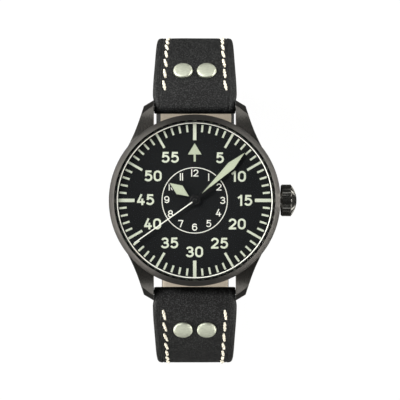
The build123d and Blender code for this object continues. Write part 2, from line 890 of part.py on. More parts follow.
def rivet_plane(side_x, side_y, radius):
    """A plane on the strap at a rivet, its normal pointing out of the leather."""
    lean = radians(rivet_lean)
    return Plane(
        origin=(side_x, side_y * (bend_y + radius * sin(lean)), bend_z + radius * cos(lean)),
        x_dir=(1, 0, 0),
        z_dir=(0, side_y * sin(lean), cos(lean)),
    )


def rivet_holes(side_y):
    """Bore one strap half for its pair of rivets."""
    for side_x in (-rivet_x, rivet_x):
        with BuildSketch(rivet_plane(side_x, side_y, inner_radius - overrun)) as hole:
            RegularPolygon(rivet_shank + slip, flat_count)
        extrude(hole.sketch, amount=strap_thickness + 2 * overrun, mode=Mode.SUBTRACT)


with BuildPart() as strap_short:
    with BuildSketch(Plane.YZ) as side:
        band((bend_y, bend_z), inner_radius, outer_radius, -90, short_sweep)
        slab(heel_y, bend_y, bend_z - outer_radius, bend_z - inner_radius)
        with Locations((bar_y, bar_z), (heel_y, heel_z)):
            Circle(end_radius)
        with Locations((bar_y, bar_z)):
            RegularPolygon(bar_bore, flat_count, major_radius=False, mode=Mode.SUBTRACT)
        with Locations((heel_y, heel_z)):
            RegularPolygon(heel_bar_radius + slip, flat_count, major_radius=False, mode=Mode.SUBTRACT)
    extrude(amount=strap_width / 2, both=True)
    trim_to_taper(strap_width / 2, buckle_width / 2)
    rivet_holes(1)
    with BuildSketch(Plane.XY.offset(heel_z - end_radius - overrun)) as fork:
        slab(-fork_half, fork_half, heel_y - fork_start, heel_y + fork_depth)
    extrude(amount=strap_thickness + 2 * overrun, mode=Mode.SUBTRACT)
save(strap_short.part, "strap_short")

tail_corner = 5.5
tail_length = 7.0
tail_plane = Plane(
    origin=(
        0,
        bend_y + lap_radius * sin(radians(tail_angle)),
        bend_z - lap_radius * cos(radians(tail_angle)),
    ),
    x_dir=(1, 0, 0),
    z_dir=(0, sin(radians(tail_angle)), -cos(radians(tail_angle))),
)


with BuildPart() as strap_long:
    with BuildSketch(Plane.YZ) as side:
        lap_outer = lap_radius + strap_thickness
        band((-bend_y, bend_z), inner_radius, outer_radius, 90 + bar_lean, long_sweep)
        band((-long_bend_y, bend_z), lap_radius, lap_outer, 180, 90)
        slab(-long_bend_y, bend_y, bend_z - lap_outer, bend_z - lap_radius)
        band((bend_y, bend_z), lap_radius, lap_outer, -90, tail_angle)
        with Locations((-bar_y, bar_z)):
            Circle(end_radius)
            RegularPolygon(bar_bore, flat_count, major_radius=False, mode=Mode.SUBTRACT)
    extrude(amount=strap_width / 2, both=True)
    trim_to_taper(strap_width / 2, buckle_width / 2)
    rivet_holes(-1)
    with BuildSketch(Plane.XY.offset(bend_z - lap_outer - overrun)) as holes:
        slab(-slot_half, slot_half, slot_near, slot_far)
        with Locations((0, hole_y - hole_spacing), (0, hole_y - 2 * hole_spacing)):
            Circle(hole_radius)
    extrude(amount=strap_thickness + 2 * overrun, mode=Mode.SUBTRACT)
    with BuildSketch(tail_plane.offset(-strap_thickness)) as corners:
        for side in (-1, 1):
            tip_x = side * (buckle_width / 2 - tail_corner)
            wide_x = side * (buckle_width / 2 + tail_corner)
            with BuildLine():
                Polyline(
                    (tip_x, 0),
                    (tip_x, -overrun),
                    (wide_x, -overrun),
                    (wide_x, 2 * tail_length),
                    close=True,
                )
            make_face()
    extrude(amount=2 * strap_thickness + overrun, mode=Mode.SUBTRACT)
save(strap_long.part, "strap_long")

# Rivets, two through each strap half
rivet_head = 2.35
rivet_rise = 0.75
rivet_flat = 1.3
rivet_side_count = 24
rivet_tail_gap = 0.05
with BuildPart() as strap_rivets:
    for side_y in (1, -1):
        for side_x in (-rivet_x, rivet_x):
            plane = rivet_plane(side_x, side_y, outer_radius)
            with BuildSketch(plane) as head_base:
                RegularPolygon(rivet_head, rivet_side_count)
            with BuildSketch(plane.offset(rivet_rise)) as head_top:
                RegularPolygon(rivet_flat, rivet_side_count)
            loft([head_base.sketch, head_top.sketch], ruled=True)
            with BuildSketch(plane.offset(rivet_tail_gap - strap_thickness)) as shank:
                RegularPolygon(rivet_shank, flat_count)
            extrude(shank.sketch, amount=strap_thickness - rivet_tail_gap)
save(strap_rivets.part, "strap_rivets")

# Keepers: a fixed loop beside the buckle and a free loop that slides on the tail
keeper_gap = 0.25
keeper_wall = 1.2
fixed_keeper_width = 5.5
free_keeper_angle = 15.0
free_keeper_sweep = 16.0
keeper_half = buckle_width / 2 + keeper_gap
keeper_inside = inner_radius - ply_gap
keeper_outside = lap_radius + strap_thickness + keeper_gap


def keeper_section():
    """The rectangular loop of a keeper, seen along the strap."""
    slab(-keeper_half - keeper_wall, keeper_half + keeper_wall,
         -keeper_outside - keeper_wall, -keeper_inside + keeper_wall)
    slab(-keeper_half, keeper_half, -keeper_outside, -keeper_inside, mode=Mode.SUBTRACT)


with BuildPart() as fixed_keeper:
    keeper_plane = Plane(origin=(0, bend_y, bend_z), x_dir=(1, 0, 0), z_dir=(0, -1, 0))
    with BuildSketch(keeper_plane) as loop:
        keeper_section()
    extrude(amount=fixed_keeper_width)
save(fixed_keeper.part, "fixed_keeper")

with BuildPart() as free_keeper:
    start_lean = radians(free_keeper_angle - free_keeper_sweep / 2)
    keeper_plane = Plane(
        origin=(0, bend_y, bend_z), x_dir=(1, 0, 0), z_dir=(0, -cos(start_lean), -sin(start_lean))
    )
    with BuildSketch(keeper_plane) as loop:
        keeper_section()
    revolve(axis=Axis((0, bend_y, bend_z), (1, 0, 0)), revolution_arc=free_keeper_sweep)
save(free_keeper.part, "free_keeper")

# Pin buckle: its bar through the short half, the frame and the tongue
frame_gap = 0.35
frame_wall = 1.6
eye_radius = 1.5
frame_bar_y = -5.0
frame_bar_width = 2.6
frame_lift = 0.14
notch_half = 1.25
tongue_half = 1.0
tongue_ring = 1.42
tongue_rest = 0.45
tongue_root = 1.0
tongue_rise = 0.6
tongue_dip = 0.3
tongue_shoulder = 0.2
rest_z = bend_z - keeper_outside - keeper_wall
tail_outer_z = bend_z - lap_radius - strap_thickness
frame_inner = buckle_width / 2 + frame_gap
frame_outer = frame_inner + frame_wall
bar_top_z = tail_outer_z - frame_lift
with BuildPart() as buckle_bar:
    heel_plane = Plane(origin=(0, heel_y, heel_z), x_dir=(0, 1, 0), z_dir=(1, 0, 0))
    rod(heel_bar_radius, -frame_outer, frame_outer, heel_plane)
save(buckle_bar.part, "buckle_bar")

with BuildPart() as buckle_frame:
    with BuildSketch(Plane.YZ.offset(frame_inner)) as leg:
        with BuildLine():
            Polyline(
                (heel_y, heel_z - eye_radius),
                ((heel_y + frame_bar_y) / 2, rest_z + frame_bar_width / 4),
                (frame_bar_y, rest_z),
                (frame_bar_y - frame_bar_width / 2, rest_z),
                (frame_bar_y - frame_bar_width / 2, bar_top_z),
                ((heel_y + frame_bar_y) / 2 - eye_radius, (heel_z + bar_top_z) / 2),
                (heel_y, heel_z + eye_radius),
                close=True,
            )
        make_face()
        with Locations((heel_y, heel_z)):
            Circle(eye_radius)
            RegularPolygon(heel_bar_radius + running, flat_count, major_radius=False, mode=Mode.SUBTRACT)
    extrude(amount=frame_wall)
    mirror(about=Plane.YZ)
    with BuildSketch(Plane.YZ) as bar:
        slab(frame_bar_y - frame_bar_width / 2, frame_bar_y + frame_bar_width / 2, rest_z, bar_top_z)
    extrude(amount=frame_outer, both=True)
    with BuildSketch(Plane.YZ) as notch:
        slab(frame_bar_y - frame_bar_width, frame_bar_y + frame_bar_width,
             rest_z - overrun, bar_top_z - tongue_rest)
    extrude(amount=notch_half, both=True, mode=Mode.SUBTRACT)
save(buckle_frame.part, "buckle_frame")

with BuildPart() as buckle_tongue:
    arm_top = bar_top_z - tongue_rest
    with BuildSketch(Plane.YZ) as arm:
        with BuildLine():
            Polyline(
                (heel_y - tongue_root, heel_z - tongue_root),
                (slot_near + tongue_rise, tail_outer_z - frame_lift),
                (frame_bar_y + frame_bar_width, arm_top),
                (frame_bar_y - frame_bar_width / 2, arm_top),
                (frame_bar_y - frame_bar_width / 2, rest_z + slip),
                (slot_near + tongue_shoulder, rest_z + tongue_dip),
                (heel_y - tongue_shoulder, heel_z - tongue_ring),
                close=True,
            )
        make_face()
        with Locations((heel_y, heel_z)):
            Circle(tongue_ring)
            RegularPolygon(heel_bar_radius + running, flat_count, major_radius=False, mode=Mode.SUBTRACT)
    extrude(amount=tongue_half, both=True)
save(buckle_tongue.part, "buckle_tongue")
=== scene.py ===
"""Looks of a hand-wound pilot watch on a riveted leather strap, built round its CAD frame."""

from math import asin, atan2, ceil, cos, degrees, exp, hypot, pi, radians, sin, sqrt

import bmesh
import bpy
from bpy.props import FloatProperty, FloatVectorProperty, IntProperty, PointerProperty
from mathutils import Matrix, Vector, noise


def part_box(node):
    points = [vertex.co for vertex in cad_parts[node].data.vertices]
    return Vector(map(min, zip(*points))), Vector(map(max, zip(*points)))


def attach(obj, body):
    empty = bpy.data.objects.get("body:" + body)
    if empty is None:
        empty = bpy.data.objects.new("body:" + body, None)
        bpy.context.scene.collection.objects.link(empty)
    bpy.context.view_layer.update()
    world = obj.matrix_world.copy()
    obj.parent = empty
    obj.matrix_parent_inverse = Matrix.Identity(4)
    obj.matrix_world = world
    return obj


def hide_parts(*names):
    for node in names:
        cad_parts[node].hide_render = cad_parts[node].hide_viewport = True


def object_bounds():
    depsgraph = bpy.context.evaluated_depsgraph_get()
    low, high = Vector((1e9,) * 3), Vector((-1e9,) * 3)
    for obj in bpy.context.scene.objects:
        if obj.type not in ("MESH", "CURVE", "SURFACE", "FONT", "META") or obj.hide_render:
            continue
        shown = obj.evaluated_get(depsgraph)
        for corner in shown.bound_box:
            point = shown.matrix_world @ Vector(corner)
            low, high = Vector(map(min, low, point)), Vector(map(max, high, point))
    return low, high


bl_info = {
    "name": "Pilot watch",
    "version": (1, 0, 0),
    "blender": (4, 5, 0),
    "location": "View3D > Sidebar > Watch",
    "description": "Builds the looks of a pilot watch round its CAD frame",
    "category": "Object",
}

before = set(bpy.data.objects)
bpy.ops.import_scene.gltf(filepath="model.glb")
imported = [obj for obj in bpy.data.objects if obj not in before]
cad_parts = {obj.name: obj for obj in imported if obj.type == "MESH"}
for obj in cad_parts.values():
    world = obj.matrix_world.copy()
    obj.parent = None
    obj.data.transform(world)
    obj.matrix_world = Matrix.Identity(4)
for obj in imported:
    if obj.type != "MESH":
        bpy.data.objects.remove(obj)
CAD_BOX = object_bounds()
MM = 0.001


def middle_of(node):
    """The middle of a CAD node's box."""
    return [(low + high) / 2 for low, high in zip(*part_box(node))]


# Places read from the frame, in metres
BEZEL_LOW, BEZEL_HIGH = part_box("bezel")
CROWN_LOW, CROWN_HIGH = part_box("crown")
FLANGE_LOW, FLANGE_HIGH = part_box("rehaut_ring")
SECONDS_LOW, SECONDS_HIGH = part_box("seconds_hand")
FIXED_LOW, FIXED_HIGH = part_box("fixed_keeper")
CASE_RADIUS, BEZEL_TOP = BEZEL_HIGH.x, BEZEL_HIGH.z
DIAL_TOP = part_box("dial")[1].z
LUG_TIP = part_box("case_middle")[1].y
BAR_Y, BAR_Z = middle_of("strap_bar_12")[1:]
HEEL_Y = middle_of("buckle_bar")[1]
STRAP_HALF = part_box("strap_short")[1].x


def linear(code, alpha=1.0):
    """The linear colour of an sRGB hex code."""
    channels = [int(code[place:place + 2], 16) / 255 for place in (0, 2, 4)]
    turned = [c / 12.92 if c <= 0.04045 else ((c + 0.055) / 1.055) ** 2.4 for c in channels]
    return (*turned, alpha)


def length(name, description, millimetres):
    """A length property with its default in millimetres."""
    return FloatProperty(name=name, description=description, default=millimetres * MM, min=0.0,
                         unit="LENGTH")


def colour(name, description, code):
    """A colour property with its default as an sRGB hex code."""
    return FloatVectorProperty(name=name, description=description, subtype="COLOR", size=4,
                               min=0.0, max=1.0, default=linear(code))


class WatchDialSizes(bpy.types.PropertyGroup):
    """Sizes of the printed dial."""
    track_radius: length("Track ring", "Middle radius of the outer ring line", 18.93)
    track_width: length("Minute ring line", "Width of the ring round the minute bars", 0.23)
    hour_ring_width: length("Hour ring line", "Width of the ring round the hour numerals", 0.2)
    inner_radius: length("Hour ring", "Middle radius of the inner ring line", 8.0)
    minute_bar: length("Minute bar", "Length of a minute bar", 1.75)
    five_bar: length("Five-minute bar", "Length of a five-minute bar", 3.9)
    quarter_bar: length("Quarter bar", "Length of a quarter bar", 4.0)
    minute_width: length("Minute bar width", "Width of a minute bar", 0.48)
    five_width: length("Five-minute bar width", "Width of a five-minute bar", 0.58)
    quarter_width: length("Quarter bar width", "Width of a quarter bar", 0.82)
    print_height: length("Print", "How far the luminous print stands off the dial", 0.09)
    minutes_radius: length("Minute numerals", "Radius on which the minute numerals stand", 12.1)
    minutes_height: length("Minute numeral height", "Height of a minute numeral", 2.66)
    minutes_stroke: length("Minute numeral stroke", "Stroke of a minute numeral", 0.47)
    hours_radius: length("Hour numerals", "Radius on which the hour numerals stand", 6.55)
    hours_height: length("Hour numeral height", "Height of an hour numeral", 1.72)
    hours_stroke: length("Hour numeral stroke", "Stroke of an hour numeral", 0.24)


class WatchStrapSizes(bpy.types.PropertyGroup):
    """Sizes of the strap's seams and rivets."""
    stitch_pitch: length("Stitch pitch", "Distance from one stitch to the next", 3.6)
    stitch_length: length("Stitch", "Length of one stitch", 2.95)
    thread: length("Thread", "Thickness of the waxed thread", 0.84)
    stitch_inset: length("Seam inset", "Distance of the seam from the strap's edge", 2.8)
    seam_gap: length("Seam start", "Distance from the lug end of the strap to the first stitch", 4.6)
    rivet_radius: length("Rivet", "Radius of a rivet's head", 2.42)
    rivet_rise: length("Rivet head", "Height of a rivet's head", 0.75)


class WatchCaseSizes(bpy.types.PropertyGroup):
    """Sizes of the case and crown."""
    bevel: length("Edge break", "Width of the broken edges of the case", 0.22)
    # The inner bevel is drawn darker than the bezel's face: painted shade
    bezel_bevel: length("Bezel bevel", "Width of the bezel's darker inner bevel", 0.32)
    flute_count: IntProperty(name="Flutes", description="Flutes round the crown", default=16, min=6)
    flute_depth: length("Flute depth", "Depth of a flute in the crown", 0.4)


class WatchColours(bpy.types.PropertyGroup):
    """Colours of the watch's finishes."""
    coating: colour("Coating", "Black coating on the blasted steel", "6a6967")
    coating_edge: colour("Worn coating", "Coating where it is slightly rubbed", "787571")
    lacquer: colour("Lacquer", "Matt black lacquer of the dial", "0a0c0d")
    lume: colour("Luminous paint", "Cream-green luminous compound", "bdc6ad")
    # Paler than the hands' luminous paint: painted light against the shade on the dial
    lume_print: colour("Luminous print", "Luminous compound printed thin over white", "dde4d0")
    print_white: colour("Ring print", "Printed ring lines", "f4f5ec")
    leather: colour("Leather", "Grained black calf leather", "0b0c0d")
    leather_fleck: colour("Leather flecks", "Lighter flecks of the leather's grain", "333434")
    lining: colour("Lining", "Smooth lining leather", "8b8478")
    thread: colour("Thread", "Waxed linen thread", "d3cfbf")
    rivet: colour("Rivet", "Satin light steel of the rivets", "c9cebd")
    gilt: colour("Gilt", "Gilt brass of the wheels", "d6ad62")
    rhodium: colour("Rhodium", "Rhodium-plated brass of the plates", "cfcdc8")
    steel: colour("Steel", "Polished steel of arbors and bars", "bdbdba")
    floor: colour("Floor", "Pale table top", "f2f2f0")


# Materials
def add_node(tree, kind, fill=None, **settings):
    """Add a node with its settings, its inputs set or linked to a socket or a node's first output."""
    made = tree.nodes.new(kind)
    for name, value in settings.items():
        setattr(made, name, value)
    for name, value in (fill or {}).items():
        if isinstance(value, bpy.types.Node):
            value = value.outputs[0]
        if isinstance(value, bpy.types.NodeSocket):
            tree.links.new(value, made.inputs[name])
        else:
            made.inputs[name].default_value = value
    return made


def blank_material(name):
    """A material with an empty tree, and the tree."""
    material = bpy.data.materials.new(name)
    material.use_nodes = True
    material.node_tree.nodes.clear()
    return material, material.node_tree


def grain(tree, millimetres, stretch=(1, 1, 1), detail=3.0):
    """Noise on Object coordinates whose cells are about this many millimetres wide."""
    coordinates = add_node(tree, "ShaderNodeTexCoord").outputs["Object"]
    mapping = add_node(tree, "ShaderNodeMapping", {"Vector": coordinates, "Scale": stretch})
    return add_node(tree, "ShaderNodeTexNoise", {
        "Vector": mapping, "Scale": 1 / (millimetres * MM), "Detail": detail})


def pebbles(tree):
    """The leather's pebbled cells, 0.55 mm wide and a little warped."""
    coordinates = add_node(tree, "ShaderNodeTexCoord").outputs["Object"]
    warped = add_node(tree, "ShaderNodeMixRGB", {
        "Fac": 0.0006, "Color1": coordinates, "Color2": grain(tree, 1.6).outputs["Color"]},
        blend_type="ADD")
    cells = add_node(tree, "ShaderNodeTexVoronoi", {
        "Vector": warped, "Scale": 1 / (0.55 * MM), "Randomness": 1.0}, feature="DISTANCE_TO_EDGE")
    return add_node(tree, "ShaderNodeMapRange", {"Value": cells, "From Max": 0.25})


def strands(tree):
    """The furrows between a thread's strands, about 0.7 mm apart: coarser than real, so that they show."""
    coordinates = add_node(tree, "ShaderNodeTexCoord").outputs["Object"]
    turned_by = add_node(tree, "ShaderNodeMapping", {
        "Vector": coordinates, "Rotation": (0.0, 0.0, radians(35))})
    return add_node(tree, "ShaderNodeTexWave", {
        "Vector": turned_by, "Scale": 1 / (2.2 * MM), "Distortion": 2.5, "Detail": 2.0}).outputs["Fac"]


METAL = {"Metallic": 1.0}
EVEN = (1, 1, 1)

# Each finish has its shader's values; its patterns, of which a grain is given by its size in mm,
# stretch and detail; the colours between which it goes from one level of a pattern to another, and how
# a second such layer is laid over the first; the roughness at both ends of a pattern; and its relief as
# pattern, strength and height in mm. A colour is an sRGB code or the name of a colour of the watch.
FINISHES = {
    # Bead-blasted steel with a black hard coating: an even satin metal with a soft sparkle
    "blasted": dict(
        name="blasted_steel_black", values=METAL,
        patterns={"grit": (0.16, EVEN, 5.0), "cloud": (9.0,)},
        layers=[("cloud", 0.3, 0.75, "coating", "coating_edge")],
        roughness=("grit", 0.26, 0.36), relief=[("grit", 0.35, 0.03)]),
    # Coated steel with a straight grain along the strap: the lugs, and the buckle
    "brushed": dict(
        name="brushed_steel_black", values=METAL,
        patterns={"grain": (0.5, (3.2, 0.16, 3.2), 4.0), "grit": (0.16, EVEN, 4.0)},
        layers=[("grain", 0.25, 0.8, "454442", "66635e")],
        roughness=("grain", 0.24, 0.36), relief=[("grain", 0.3, 0.02), ("grit", 0.2, 0.02)]),
    # Coated steel of the case's upright flank: brushed round the case; darker than its top as painted shade
    # on the upright faces
    "flank": dict(
        name="flank_steel_black", values=METAL, patterns={"grain": (0.5, (0.3, 0.3, 4.0), 4.0)},
        layers=[("grain", 0.25, 0.8, "2f2e2d", "474542")],
        roughness=("grain", 0.28, 0.4), relief=[("grain", 0.25, 0.02)]),
    # Coated steel of the crown, smoother than the case, so that its flutes glint
    "fluted": dict(
        name="satin_steel_black", values=METAL, patterns={"grit": (0.2, EVEN, 4.0)},
        layers=[("grit", 0.3, 0.7, "4d4d4b", "63625e")],
        roughness=("grit", 0.22, 0.34), relief=[("grit", 0.2, 0.015)]),
    # Coated steel polished on the bezel's inner bevel, with a soft gleam; its near-black colour is painted
    # shade in the bevel
    "bevel": dict(
        name="polished_steel_black", values=METAL, patterns={"grit": (0.3,)},
        layers=[("grit", 0.3, 0.7, "3a3a39", "484847")], roughness=("grit", 0.18, 0.26)),
    # Matt black lacquer sprayed on brass: very dark, with a fine dusty grain
    "lacquer": dict(
        name="lacquer_matt_black", values={"Roughness": 0.66, "Specular IOR Level": 0.18},
        patterns={"dust": (0.22, EVEN, 5.0)},
        layers=[("dust", 0.3, 0.72, "lacquer", "151819")], relief=[("dust", 0.25, 0.015)]),
    # Satin black lacquer on thin steel: the frames of the hands
    "hand": dict(
        name="lacquer_satin_black", values={"Roughness": 0.42, "Specular IOR Level": 0.28},
        patterns={"dust": (0.4,)}, layers=[("dust", 0.3, 0.7, "070809", "0e0f10")]),
    # Luminous compound: a thick chalky paint, cream-green by day, slightly granular
    "lume": dict(
        name="luminous_paint", values={"Roughness": 0.75, "Specular IOR Level": 0.25},
        patterns={"chalk": (0.18, EVEN, 4.0)},
        layers=[("chalk", 0.25, 0.65, "b3bca2", "lume")], relief=[("chalk", 0.35, 0.03)]),
    # Luminous compound screen-printed on the dial: paler than on the hands, brightened as painted light
    # against the shade that falls on the dial
    "lume_print": dict(
        name="luminous_print", values={"Roughness": 0.7, "Specular IOR Level": 0.25},
        patterns={"chalk": (0.2, EVEN, 4.0)},
        layers=[("chalk", 0.25, 0.65, "cfd6c0", "lume_print")], relief=[("chalk", 0.3, 0.02)]),
    # Pad-printed ink: an even off-white film
    "ink": dict(
        name="ink_white", values={"Roughness": 0.55, "Specular IOR Level": 0.3},
        patterns={"film": (0.3,)}, layers=[("film", 0.3, 0.7, "e8eade", "print_white")]),
    # Polished sapphire, coated against reflections: almost unseen from the front
    "sapphire": dict(
        name="sapphire_clear",
        values={"Base Color": "0a0c10", "Roughness": 0.03, "Alpha": 0.07, "Specular IOR Level": 0.5}),
    # Oiled black calf leather: small pebbled grain, pale flecks and a waxy sheen
    "leather": dict(
        name="calf_leather_black", values={"Specular IOR Level": 0.18},
        patterns={"pebble": pebbles, "fleck": (0.3, EVEN, 6.0), "patch": (7.0,)},
        layers=[("fleck", 0.5, 0.62, "leather", "leather_fleck"), ("patch", 0.3, 0.75, "505050", "8c8b89")],
        laid=(0.35, "OVERLAY"), roughness=("fleck", 0.5, 0.72),
        relief=[("pebble", 0.55, 0.06), ("fleck", 0.45, 0.05)]),
    # Undyed lining leather: smooth, beige-grey, with fine pores
    "lining": dict(
        name="lining_leather", values={"Roughness": 0.65, "Specular IOR Level": 0.3},
        patterns={"pores": (0.25, EVEN, 5.0), "patch": (6.0,)},
        layers=[("pores", 0.3, 0.7, "7a7368", "lining"), ("patch", 0.3, 0.7, "6f6a60", "a29b90")],
        laid=(0.3, "OVERLAY"), relief=[("pores", 0.4, 0.03)]),
    # Edge dressing: black acrylic rubbed on the cut edge, smoother than the leather
    "edge": dict(
        name="edge_dressing_black", values={"Specular IOR Level": 0.4}, patterns={"waves": (1.2,)},
        layers=[("waves", 0.3, 0.7, "151617", "232425")],
        roughness=("waves", 0.38, 0.55), relief=[("waves", 0.3, 0.05)]),
    # Waxed linen thread: strands laid together, so fine diagonal furrows cross each stitch
    "thread": dict(
        name="linen_thread",
        values={"Roughness": 0.7, "Specular IOR Level": 0.3, "Sheen Weight": 0.15},
        patterns={"strands": strands, "fibre": (0.2, EVEN, 4.0)},
        layers=[("strands", 0.1, 0.7, "b7af9d", "thread"), ("fibre", 0.3, 0.7, "a79f8e", "f4f0e2")],
        laid=(0.25, "MIX"), relief=[("strands", 0.6, 0.08)]),
    # Tumbled nickel-plated steel: pale satin metal with a light cross grain
    "rivet": dict(
        name="satin_steel_pale", values=METAL, patterns={"grain": (0.35, (0.5, 2.2, 1.0), 5.0)},
        layers=[("grain", 0.3, 0.7, "b2b6a7", "rivet")],
        roughness=("grain", 0.48, 0.62), relief=[("grain", 0.3, 0.03)]),
    # Gilt brass of the wheels: warm, with a fine straight grain
    "gilt": dict(
        name="gilt_brass", values={**METAL, "Base Color": "gilt"},
        patterns={"grain": (0.3, (1, 4, 1), 4.0)},
        roughness=("grain", 0.2, 0.34), relief=[("grain", 0.2, 0.01)]),
    # Rhodium-plated brass of the plates: pale grey, with a long straight grain
    "rhodium": dict(
        name="rhodium_plated_brass", values={**METAL, "Base Color": "rhodium"},
        patterns={"grain": (0.4, (0.2, 4, 1), 4.0)},
        roughness=("grain", 0.25, 0.4), relief=[("grain", 0.2, 0.01)]),
    # Polished steel of arbors and bars: bright, with faint lines left by the lap
    "steel": dict(
        name="polished_steel", values={**METAL, "Base Color": "steel"},
        patterns={"grain": (0.4, (4, 0.3, 1), 4.0)},
        roughness=("grain", 0.16, 0.28), relief=[("grain", 0.2, 0.01)]),
}


def make_finish(name, values, patterns=None, layers=(), laid=None, roughness=None, relief=()):
    """The material of one row of the finishes."""
    colours = bpy.context.scene.watch_colours

    def shade(code):
        return getattr(colours, code) if hasattr(colours, code) else linear(code)

    material, tree = blank_material(name)
    inputs = {key: shade(value) if isinstance(value, str) else value for key, value in values.items()}
    found = {key: made(tree) if callable(made) else grain(tree, *made)
             for key, made in (patterns or {}).items()}
    colourings = []
    for pattern, low, high, first, second in layers:
        colouring = add_node(tree, "ShaderNodeValToRGB", {"Fac": found[pattern]})
        for stop, place, code in zip(colouring.color_ramp.elements, (low, high), (first, second)):
            stop.position, stop.color = place, shade(code)
        colourings.append(colouring)
    if laid:
        share, blend = laid
        colourings = [add_node(tree, "ShaderNodeMixRGB", {
            "Fac": share, "Color1": colourings[0], "Color2": colourings[1]}, blend_type=blend)]
    if colourings:
        inputs["Base Color"] = colourings[0]
    if roughness:
        pattern, low, high = roughness
        inputs["Roughness"] = add_node(tree, "ShaderNodeMapRange", {
            "Value": found[pattern], "To Min": low, "To Max": high})
    for pattern, strength, height in relief:
        under = {"Normal": inputs["Normal"]} if "Normal" in inputs else {}
        inputs["Normal"] = add_node(tree, "ShaderNodeBump", {
            "Height": found[pattern], "Strength": strength, "Distance": height * MM, **under})
    shader = add_node(tree, "ShaderNodeBsdfPrincipled", inputs)
    add_node(tree, "ShaderNodeOutputMaterial", {"Surface": shader})
    if "Alpha" in values:
        material.surface_render_method = "BLENDED"
    return material


made_materials = {}


def finish_of(key):
    """The material of this finish, made on its first use."""
    if key not in made_materials:
        made_materials[key] = make_finish(**FINISHES[key])
    return made_materials[key]


def dress(finish, *nodes):
    """Give a finish to CAD nodes that stay as they are."""
    for node in nodes:
        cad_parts[node].material_slots[0].material = finish_of(finish)


# Meshes
TOUCHING = 1e-7  # points of a new shape this close are one
FRAME_TOUCHING = 2e-6  # the same for a CAD node's loose triangles
FLAT = radians(0.6)  # facets that meet at less than this are one face


def linked(name, data):
    """An object with this data, in the scene."""
    made = bpy.data.objects.new(name, data)
    bpy.context.scene.collection.objects.link(made)
    return made


def new_piece(name, mesh, body, materials, slot, *nodes):
    """Put a finished mesh in the scene as a piece that rides on a body."""
    piece = linked(name, mesh)
    if materials:
        marks = [face.material_index for face in mesh.polygons]
        mesh.materials.clear()
        for material in materials:
            mesh.materials.append(finish_of(material))
        mesh.polygons.foreach_set("material_index", marks)
    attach(piece, body)
    if nodes:
        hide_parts(*nodes)


def to_mesh(bm, name):
    """Turn a bmesh into a mesh as it is."""
    mesh = bpy.data.meshes.new(name)
    bm.to_mesh(mesh)
    bm.free()
    return mesh


def mesh_from(bm, name, sharp=32.0):
    """Turn a bmesh into a mesh, faces outwards, smooth except at edges sharper than this angle."""
    bmesh.ops.remove_doubles(bm, verts=bm.verts, dist=TOUCHING)
    bmesh.ops.recalc_face_normals(bm, faces=bm.faces)
    limit = radians(sharp)
    for face in bm.faces:
        face.smooth = True
    for edge in bm.edges:
        edge.smooth = len(edge.link_faces) == 2 and edge.calc_face_angle(pi) < limit
    return to_mesh(bm, name)


def applied(helper, name):
    """The plain mesh of a helper object with its modifiers applied; the helper is then removed."""
    graph = bpy.context.evaluated_depsgraph_get()
    mesh = bpy.data.meshes.new_from_object(helper.evaluated_get(graph))
    mesh.name = name
    helper.modifiers.clear()
    bpy.data.objects.remove(helper)
    return mesh


def skin(bm, rings, loop=False, closed=True, caps=False):
    """Join rings of vertices by quads, kept by ring and corner; a loop's last ring meets its first."""
    faces = {}
    count = len(rings[0])
    for number in range(len(rings) if loop else len(rings) - 1):
        ring, after = rings[number], rings[(number + 1) % len(rings)]
        for index in range(count if closed else count - 1):
            other = (index + 1) % count
            faces[number, index] = bm.faces.new([ring[index], ring[other], after[other], after[index]])
    if caps:
        bm.faces.new(rings[0])
        bm.faces.new(rings[-1])
    return faces


def slab(bm, outline, low, high):
    """A flat plate with this outline between two levels."""
    skin(bm, [[bm.verts.new((x, y, level)) for x, y in outline] for level in (low, high)], caps=True)


def turned(name, profile, segments=192, place=None, sharp=32.0):
    """A mesh turned about the Z axis from (radius, height) points, then moved to its place."""
    bm = bmesh.new()
    rings = []
    for step in range(segments):
        turn = 2 * pi * step / segments
        rings.append([bm.verts.new((radius * cos(turn), radius * sin(turn), height))
                      for radius, height in profile])
    skin(bm, rings, loop=True, closed=profile[0][0] > 0)
    if place is not None:
        bm.transform(place)
    return mesh_from(bm, name, sharp)


def refined(name, node, width, segments=2, sharp=32.0):
    """A copy of a CAD node with merged faces and its edges broken by a small bevel."""
    bm = bmesh.new()
    bm.from_mesh(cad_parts[node].data)
    bmesh.ops.remove_doubles(bm, verts=bm.verts, dist=FRAME_TOUCHING)
    bmesh.ops.dissolve_limit(bm, angle_limit=FLAT, verts=bm.verts, edges=bm.edges)
    helper = linked(name + "_helper", to_mesh(bm, name))
    edge = helper.modifiers.new("edge_break", "BEVEL")
    edge.width, edge.segments = width, segments
    edge.limit_method, edge.angle_limit = "ANGLE", radians(sharp)
    edge.harden_normals = False
    bm = bmesh.new()
    bm.from_mesh(applied(helper, name))
    helper = linked(name + "_helper", mesh_from(bm, name, sharp))
    helper.modifiers.new("even_normals", "WEIGHTED_NORMAL").keep_sharp = True
    return applied(helper, name)


def grown(name, tree, inputs):
    """Run a node tree with named inputs and return its result as a plain mesh."""
    helper = linked(name + "_helper", bpy.data.meshes.new(name + "_seed"))
    grower = helper.modifiers.new(tree.name, "NODES")
    grower.node_group = tree
    for item in tree.interface.items_tree:
        if item.item_type == "SOCKET" and item.in_out == "INPUT" and item.name in inputs:
            grower[item.identifier] = inputs[item.name]
    return applied(helper, name)


SOCKET_KINDS = {int: "NodeSocketInt", float: "NodeSocketFloat", type(None): "NodeSocketObject"}


def new_tree(name, **inputs):
    """A Geometry Nodes tree with inputs of these names and defaults, and one geometry output."""
    tree = bpy.data.node_groups.new(name, "GeometryNodeTree")
    for label, default in inputs.items():
        socket = tree.interface.new_socket(
            name=label, in_out="INPUT", socket_type=SOCKET_KINDS[type(default)])
        if default is not None:
            socket.default_value = default
    tree.interface.new_socket(name="Geometry", in_out="OUTPUT", socket_type="NodeSocketGeometry")
    return tree, tree.nodes.new("NodeGroupInput").outputs


